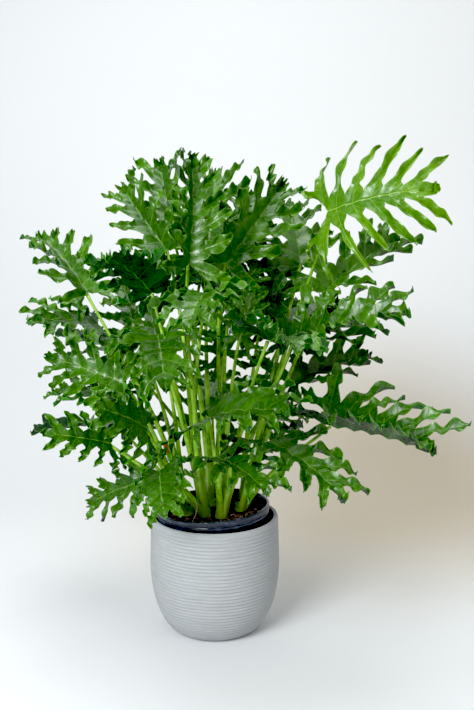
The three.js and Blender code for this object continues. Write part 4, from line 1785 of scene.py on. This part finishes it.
@dataclass(frozen=True)
class Stalks:
    """A stem with its leaf stalks: round, widening at their feet into sheaths.

    rise, droop, ahead and lift are weights of the directions that a stalk starts and arrives
    in, beside its straight way from the stem to the hub.
    """

    stem: Stem
    soil: Soil
    base: float = 8.5
    end: float = 3.4
    slimming: float = 1.6  # the power by which a stalk thins
    sheath: float = 0.28  # share that the foot is thicker by
    sheath_at: Pair = (0.02, 0.07)  # its middle and length, as shares of the stalk's length
    swell: float = 0.25  # the same below the blade
    swell_length: float = 0.03
    channel: float = 0.14  # depth of the line that runs along a stalk, as a share
    channel_power: int = 6
    start_rise: float = 4
    start_out: float = 0.35  # share of the stem's radius
    rise: float = 0.6
    droop: float = 0.25
    ahead: float = 0.25
    lift: float = 0.35
    lower_reach: float = 0.36  # shares of the straight way
    upper_reach: float = 0.28
    wander: float = 6
    below: float = 1.25  # from the blade's middle to the stalk's skin
    overshoot: float = 1.2
    sides: int = 12
    rows: int = 28
    map_length: float = 6
    foot: float = 12
    head: float = 26
    head_slim: float = 0.72
    scars: Triple = (0.05, 3, 0.6)  # height, number and waviness of the stump's rings
    knob: float = 0.06
    stump_sides: int = 20
    stump_rows: int = 14
    stump_map_length: float = 0.4
    crease: float = 70  # degrees

    def curve(self, frond: Frond) -> Curve:
        """Lead a frond's stalk from the stem to its blade.

        Args:
            frond: The frond.

        Returns:
            The curve's points, in millimetres.
        """
        _, x, y, radius = self.stem.value
        start = Vector((x, y, self.soil.height(x, y) + self.start_rise))
        hub = Vector(frond.hub)
        away = hub - start
        reach = away.length
        start += Vector((away.x, away.y, 0)).normalized() * radius * self.start_out
        away.normalize()
        leave = (away + UP * self.rise).normalized()
        arrive = away - UP * self.droop + frond.forward * self.ahead + frond.normal * self.lift
        arrive.normalize()
        slant = math.sqrt(1 - arrive.dot(frond.normal) ** 2)
        end = hub - frond.normal * (self.below + self.end * slant)
        bow = Vector(frond.bow)
        lower = start + leave * reach * self.lower_reach + bow
        aside = (jitter(frond.number, Draw.WANDER + axis) for axis in (0, 1))
        lower += Vector((*aside, 0)) * self.wander
        upper = end - arrive * reach * self.upper_reach + bow
        return start, lower, upper, end + arrive * self.overshoot

    def radius(self, t: float) -> float:
        """Find how thick a stalk is.

        Args:
            t: A share of its length.

        Returns:
            The radius in millimetres.
        """
        middle, length = self.sheath_at
        radius = self.end + (self.base - self.end) * (1 - t) ** self.slimming
        sheath = 1 + self.sheath * bump(t - middle, length)
        return radius * sheath * (1 + self.swell * bump(1 - t, self.swell_length))

    def stalk(self, bm: bmesh.types.BMesh, frond: Frond) -> None:
        """Add a frond's stalk.

        Args:
            bm: The mesh that it is added to.
            frond: The frond.
        """

        def size(column: int, row: int) -> float:
            """Return the radius, less where the line runs along the stalk."""
            facing = max(0.0, math.cos(TURN * column / self.sides + frond.number))
            return self.radius(row / self.rows) * (1 - self.channel * facing**self.channel_power)

        tube(bm, rings(self.curve(frond), self.rows), self.sides, size, self.map_length)

    def stump(self, bm: bmesh.types.BMesh) -> None:
        """Add the stem's short knobbly stump.

        Args:
            bm: The mesh that it is added to.
        """
        _, x, y, radius = self.stem.value
        soil = self.soil.height(x, y)
        rows, sides = self.stump_rows, self.stump_sides
        heights = [lerp(soil - self.foot, soil + self.head, i / rows) for i in range(rows + 1)]
        path = [(Vector((x, y, z)), Vector((1, 0, 0)), Vector((0, 1, 0))) for z in heights]
        deep, many, wavy = self.scars

        def size(column: int, row: int) -> float:
            """Find the stump's radius, with the scars of old stalks and with knobs.

            Args:
                column: The point's column, round the stump.
                row: Its row, up the stump.

            Returns:
                The radius in millimetres.
            """
            share = row / rows
            ring = 1 + deep * math.sin(TURN * many * share + wavy * math.sin(column))
            knob = 1 + self.knob * jitter(column % sides, row) if 0 < row < rows else 1
            return radius * lerp(1, self.head_slim, share) * ring * knob

        tube(bm, path, sides, size, self.stump_map_length)

    def build(self, finish: bpy.types.Material) -> bpy.types.Object:
        """Build the stem and its stalks.

        Args:
            finish: Their material.

        Returns:
            The piece.
        """
        name = self.stem.value[0]
        bm = bmesh.new()
        bm.loops.layers.uv.new(STALK_MAP)
        self.stump(bm)
        for frond in FRONDS:
            if frond.stem is self.stem:
                self.stalk(bm, frond)
        bmesh.ops.remove_doubles(bm, verts=bm.verts, dist=WELD)
        close_ends(bm)
        return finish_piece(
            bm, "stem_" + name, [finish], "stalks_" + name, self.crease
        )


@dataclass(frozen=True)
class DrySheath:
    """The brown, papery rest of a sheath that still hugs a stalk."""

    stalks: Stalks
    frond: Frond
    start: float = 0.235  # shares of the stalk's length
    end: float = 0.32
    hug: float = 150  # degrees round the stalk, with its middle to the front
    narrowing: float = 0.75  # share that its upper end is narrower by
    gap: float = 0.9
    gape: float = 4  # how far more it stands off at its upper end
    crumple: float = 0.5
    crumple_close: float = 2.1
    thickness: float = 0.7
    columns: int = 10
    rows: int = 12
    steps: int = 200

    def build(self, finish: bpy.types.Material) -> bpy.types.Object:
        """Build the sheath.

        Args:
            finish: Its material.

        Returns:
            The piece.
        """
        path = rings(self.stalks.curve(self.frond), self.steps)
        _, side, other = path[round(self.start * self.steps)]
        front = math.atan2(-other.y, -side.y)

        def put(column: int, row: int) -> Vector:
            """Return a point of the sheath's inner side, in metres.

            Args:
                column: The point's column, round the stalk.
                row: Its row, up the stalk.

            Returns:
                The place.
            """
            share = row / self.rows
            t = lerp(self.start, self.end, share)
            width = self.hug * (1 - self.narrowing * share**2) * (column / self.columns - 0.5)
            crumple = self.crumple * math.sin(column * self.crumple_close + row)
            away = self.stalks.radius(t) + (self.gap + self.gape * share**3 + crumple)
            return beside(path[round(t * self.steps)], front + math.radians(width), away) * MM

        bm = bmesh.new()
        map_grid(bm, self.columns, self.rows, put)
        thicken(bm, lambda _: 0.0, self.thickness)
        bmesh.ops.recalc_face_normals(bm, faces=bm.faces)
        return finish_piece(bm, "dry_sheath", [finish])


@dataclass(frozen=True)
class Roots:
    """A pale air root that reaches from a stalk into the soil, and fine roots on the soil."""

    stalks: Stalks
    frond: Frond
    start: float = 0.25  # share of the stalk's length
    foot_off: Pair = (-8, -16)  # from its start, on the plan
    depth: float = 4
    first_bend: Triple = (14, -14, -6)  # from its start
    last_bend: Triple = (12, -8, 20)  # from its foot
    radius: float = 2.3
    slimming: float = 0.55
    knobs: float = 0.12
    sides: int = 6
    rows: int = 16
    fine: int = 34
    fine_seed: int = 31
    fine_radius: float = 0.5
    fine_reach: float = 112
    fine_length: float = 14  # to each side of its middle
    fine_wander: float = 4
    fine_lifts: tuple[float, ...] = (-3, 8, 7, -3)  # of its curve's points above the soil
    crease: float = 70  # degrees

    def strand(self, bm: bmesh.types.BMesh, points: Curve, radius: float) -> None:
        """Add a root, thinner towards its end.

        Args:
            bm: The mesh that it is added to.
            points: Its curve's points, in millimetres.
            radius: Its radius at the start.
        """

        def size(_: int, row: int) -> float:
            """Return the radius at a row."""
            knob = 1 + self.knobs * jitter(radius, row)
            return radius * (1 - self.slimming * row / self.rows) * knob

        made = tube(bm, rings(points, self.rows), self.sides, size)
        bmesh.ops.remove_doubles(bm, verts=made, dist=WELD)

    def air_root(self) -> Curve:
        """Lead the air root from its stalk into the soil.

        Returns:
            The curve's points, in millimetres.
        """
        top = bezier(self.stalks.curve(self.frond), self.start)[0]
        foot = top + Vector((*self.foot_off, 0))
        foot.z = self.stalks.soil.height(foot.x, foot.y) - self.depth
        return top, top + Vector(self.first_bend), foot + Vector(self.last_bend), foot

    def fine_root(self, draw: random.Random) -> Curve:
        """Lay a fine root on the soil.

        Args:
            draw: Where its numbers are drawn from.

        Returns:
            The curve's points, in millimetres.
        """
        away = self.fine_reach * math.sqrt(draw.random())
        angle = draw.uniform(0, TURN)
        at = Vector((away * math.cos(angle), away * math.sin(angle), 0))
        heading = Vector((draw.uniform(-1, 1), draw.uniform(-1, 1), 0)) * self.fine_length
        middle = (len(self.fine_lifts) - 1) / 2
        off = self.fine_wander
        path = []
        for step, lift in enumerate(self.fine_lifts):
            spot = at + heading * (step - middle) / middle
            spot += Vector((draw.uniform(-off, off), draw.uniform(-off, off), 0))
            spot.z = self.stalks.soil.height(spot.x, spot.y) + lift
            path.append(spot)
        return tuple(path)

    def build(self, finish: bpy.types.Material) -> bpy.types.Object:
        """Build the roots.

        Args:
            finish: Their material.

        Returns:
            The piece.
        """
        bm = bmesh.new()
        self.strand(bm, self.air_root(), self.radius)
        draw = random.Random(self.fine_seed)
        for _ in range(self.fine):
            self.strand(bm, self.fine_root(draw), self.fine_radius)
        close_ends(bm)
        return finish_piece(bm, "roots", [finish], crease=self.crease)


# ---- Studio ----


@dataclass(frozen=True)
class Lamp:
    """A square soft light: its place, the point that it faces, its side, power and colour."""

    name: str
    at: Triple  # metres
    aim: Triple
    side: float
    watts: float
    colour: Triple

    def hang(self) -> None:
        """Put the light in the scene."""
        lamp = bpy.data.lights.new(self.name, "AREA")
        lamp.shape = "SQUARE"
        lamp.size = self.side
        lamp.energy = self.watts
        lamp.color = self.colour
        holder = put_in_scene(self.name, lamp)
        holder.location = self.at
        facing = Vector(self.aim) - Vector(self.at)
        holder.rotation_euler = facing.to_track_quat("-Z", "Y").to_euler()


@dataclass(frozen=True)
class Studio:
    """The pale floor, the soft lights and the camera, in metres."""

    camera_at: Triple = (0.054, -2.3, 1.042)
    camera_pitch: float = 80.9  # degrees from looking straight down
    lens: float = 50  # millimetres, as the sensor
    sensor: float = 36
    floor_half: float = 5
    floor_near: float = -4.0
    floor_far: float = 2.6
    bend: float = 1.6
    wall: float = 3  # above the bend
    floor_share: float = 0.5  # of the rows, and then the bend's
    bend_share: float = 0.35
    columns: int = 4
    rows: int = 32
    lamps: tuple[Lamp, ...] = (
        Lamp("key", (-1.5, -2.8, 2.1), (0, 0, 0.6), 1.5, 116, (0.97, 1.0, 1.02)),
        Lamp("top", (-0.2, 0.5, 3.0), (0, 0.2, 0.6), 1.8, 38, (0.98, 1.0, 1.01)),
        Lamp("fill", (2.6, -2.2, 2.0), (0.3, 0.0, 0.3), 3.0, 20, (1.0, 0.97, 0.92)),
        Lamp("back", (1.6, 0.4, 3.0), (0.9, 2.4, 1.2), 1.6, 8, (0.99, 1.0, 1.0)),
    )
    air: Triple = (0.98, 0.975, 0.95)
    air_strength: float = 0.42
    black_level: Triple = (0.036, 0.038, 0.032)

    def floor(self, finish: bpy.types.Material) -> None:
        """Lay the floor, which sweeps up behind.

        Args:
            finish: Its material.
        """
        turned = self.floor_share + self.bend_share
        start = self.floor_far - self.bend

        def put(column: int, row: int) -> Vector:
            """Return a point of the floor, the bend or the wall.

            Args:
                column: The point's column, from the left.
                row: Its row, from the front.

            Returns:
                The place in metres.
            """
            x = lerp(-self.floor_half, self.floor_half, column / self.columns)
            share = row / self.rows
            if share < self.floor_share:
                return Vector((x, lerp(self.floor_near, start, share / self.floor_share), 0))
            turn = min(1.0, (share - self.floor_share) / self.bend_share) * TURN / 4
            rise = max(0.0, share - turned) / (1 - turned) * self.wall
            y = start + self.bend * math.sin(turn)
            return Vector((x, y, self.bend * (1 - math.cos(turn)) + rise))

        bm = bmesh.new()
        map_grid(bm, self.columns, self.rows, put)
        floor = make_object(bm, "studio_floor", [finish])

    def air_light(self) -> bpy.types.World:
        """Make the light that comes from all sides.

        Returns:
            The world that gives it.
        """
        world = bpy.data.worlds.new("studio")
        world.use_nodes = True
        air = world.node_tree.nodes["Background"]
        air.inputs[0].default_value = (*self.air, 1)
        air.inputs[1].default_value = self.air_strength
        return world

    def camera(self) -> bpy.types.Object:
        """Set up the camera.

        Returns:
            The camera's object.
        """
        camera = bpy.data.cameras.new("camera")
        camera.lens = self.lens
        camera.sensor_fit = "VERTICAL"
        camera.sensor_height = self.sensor
        holder = put_in_scene("camera", camera)
        holder.location = self.camera_at
        holder.rotation_euler = (math.radians(self.camera_pitch), 0, 0)
        return holder

    def build(self, finish: bpy.types.Material) -> None:
        """Build the studio round the plant.

        Args:
            finish: The floor's material.
        """
        self.floor(finish)
        for lamp in self.lamps:
            lamp.hang()
        scene = bpy.context.scene
        scene.world = self.air_light()
        scene.camera = self.camera()
        view = scene.view_settings
        view.view_transform = "Standard"
        view.use_curve_mapping = True
        view.curve_mapping.black_level = self.black_level


# ---- The plant ----


@dataclass(frozen=True)
class Plant:
    """The planter, the grower's pot, the soil, the stems and the leaves."""

    planter: Planter = Planter()
    pot: GrowerPot = GrowerPot()
    dark_bits: Bark = Bark("dark_bark", (0.06, 0.042, 0.034), (0.16, 0.105, 0.075))
    pale_bits: Bark = Bark("pale_bark", (0.15, 0.10, 0.07), (0.36, 0.26, 0.18))
    dry: Bark = Bark("dry_sheath", (0.30, 0.09, 0.02), (0.66, 0.27, 0.08))
    root: Bark = Bark("pale_root", (0.46, 0.38, 0.24), (0.78, 0.70, 0.50), 0.7)
    sheathed: int = 1  # the number of the frond whose stalk keeps a dry sheath
    rooted: int = 24  # the number of the one whose stalk has the air root

    def build(self) -> None:
        """Build and dress every piece."""
        soil = Soil(self.pot)
        self.planter.build(RibbedStoneware().material())
        self.pot.build(BlackPlastic().material())
        soil.build(PottingMix().material())
        soil.scatter([self.dark_bits.material(), self.pale_bits.material()])
        skin = StalkSkin().material()
        for stem in Stem:
            Stalks(stem, soil).build(skin)
        fronds = {frond.number: frond for frond in FRONDS}
        sheathed, rooted = fronds[self.sheathed], fronds[self.rooted]
        DrySheath(Stalks(sheathed.stem, soil), sheathed).build(self.dry.material())
        Roots(Stalks(rooted.stem, soil), rooted).build(self.root.material())
        faces = {tone: LeafSkin(tone).material() for tone in Tone}
        for frond in FRONDS:
            Blade(frond).build(faces[frond.tone], faces[frond.tone.beneath()])


def main() -> None:
    """Build the plant in its studio."""
    logging.basicConfig(level=logging.INFO, format="%(name)s: %(message)s")
    Plant().build()
    Studio().build(StudioPaper().material())


if __name__ == "__main__":
    main()
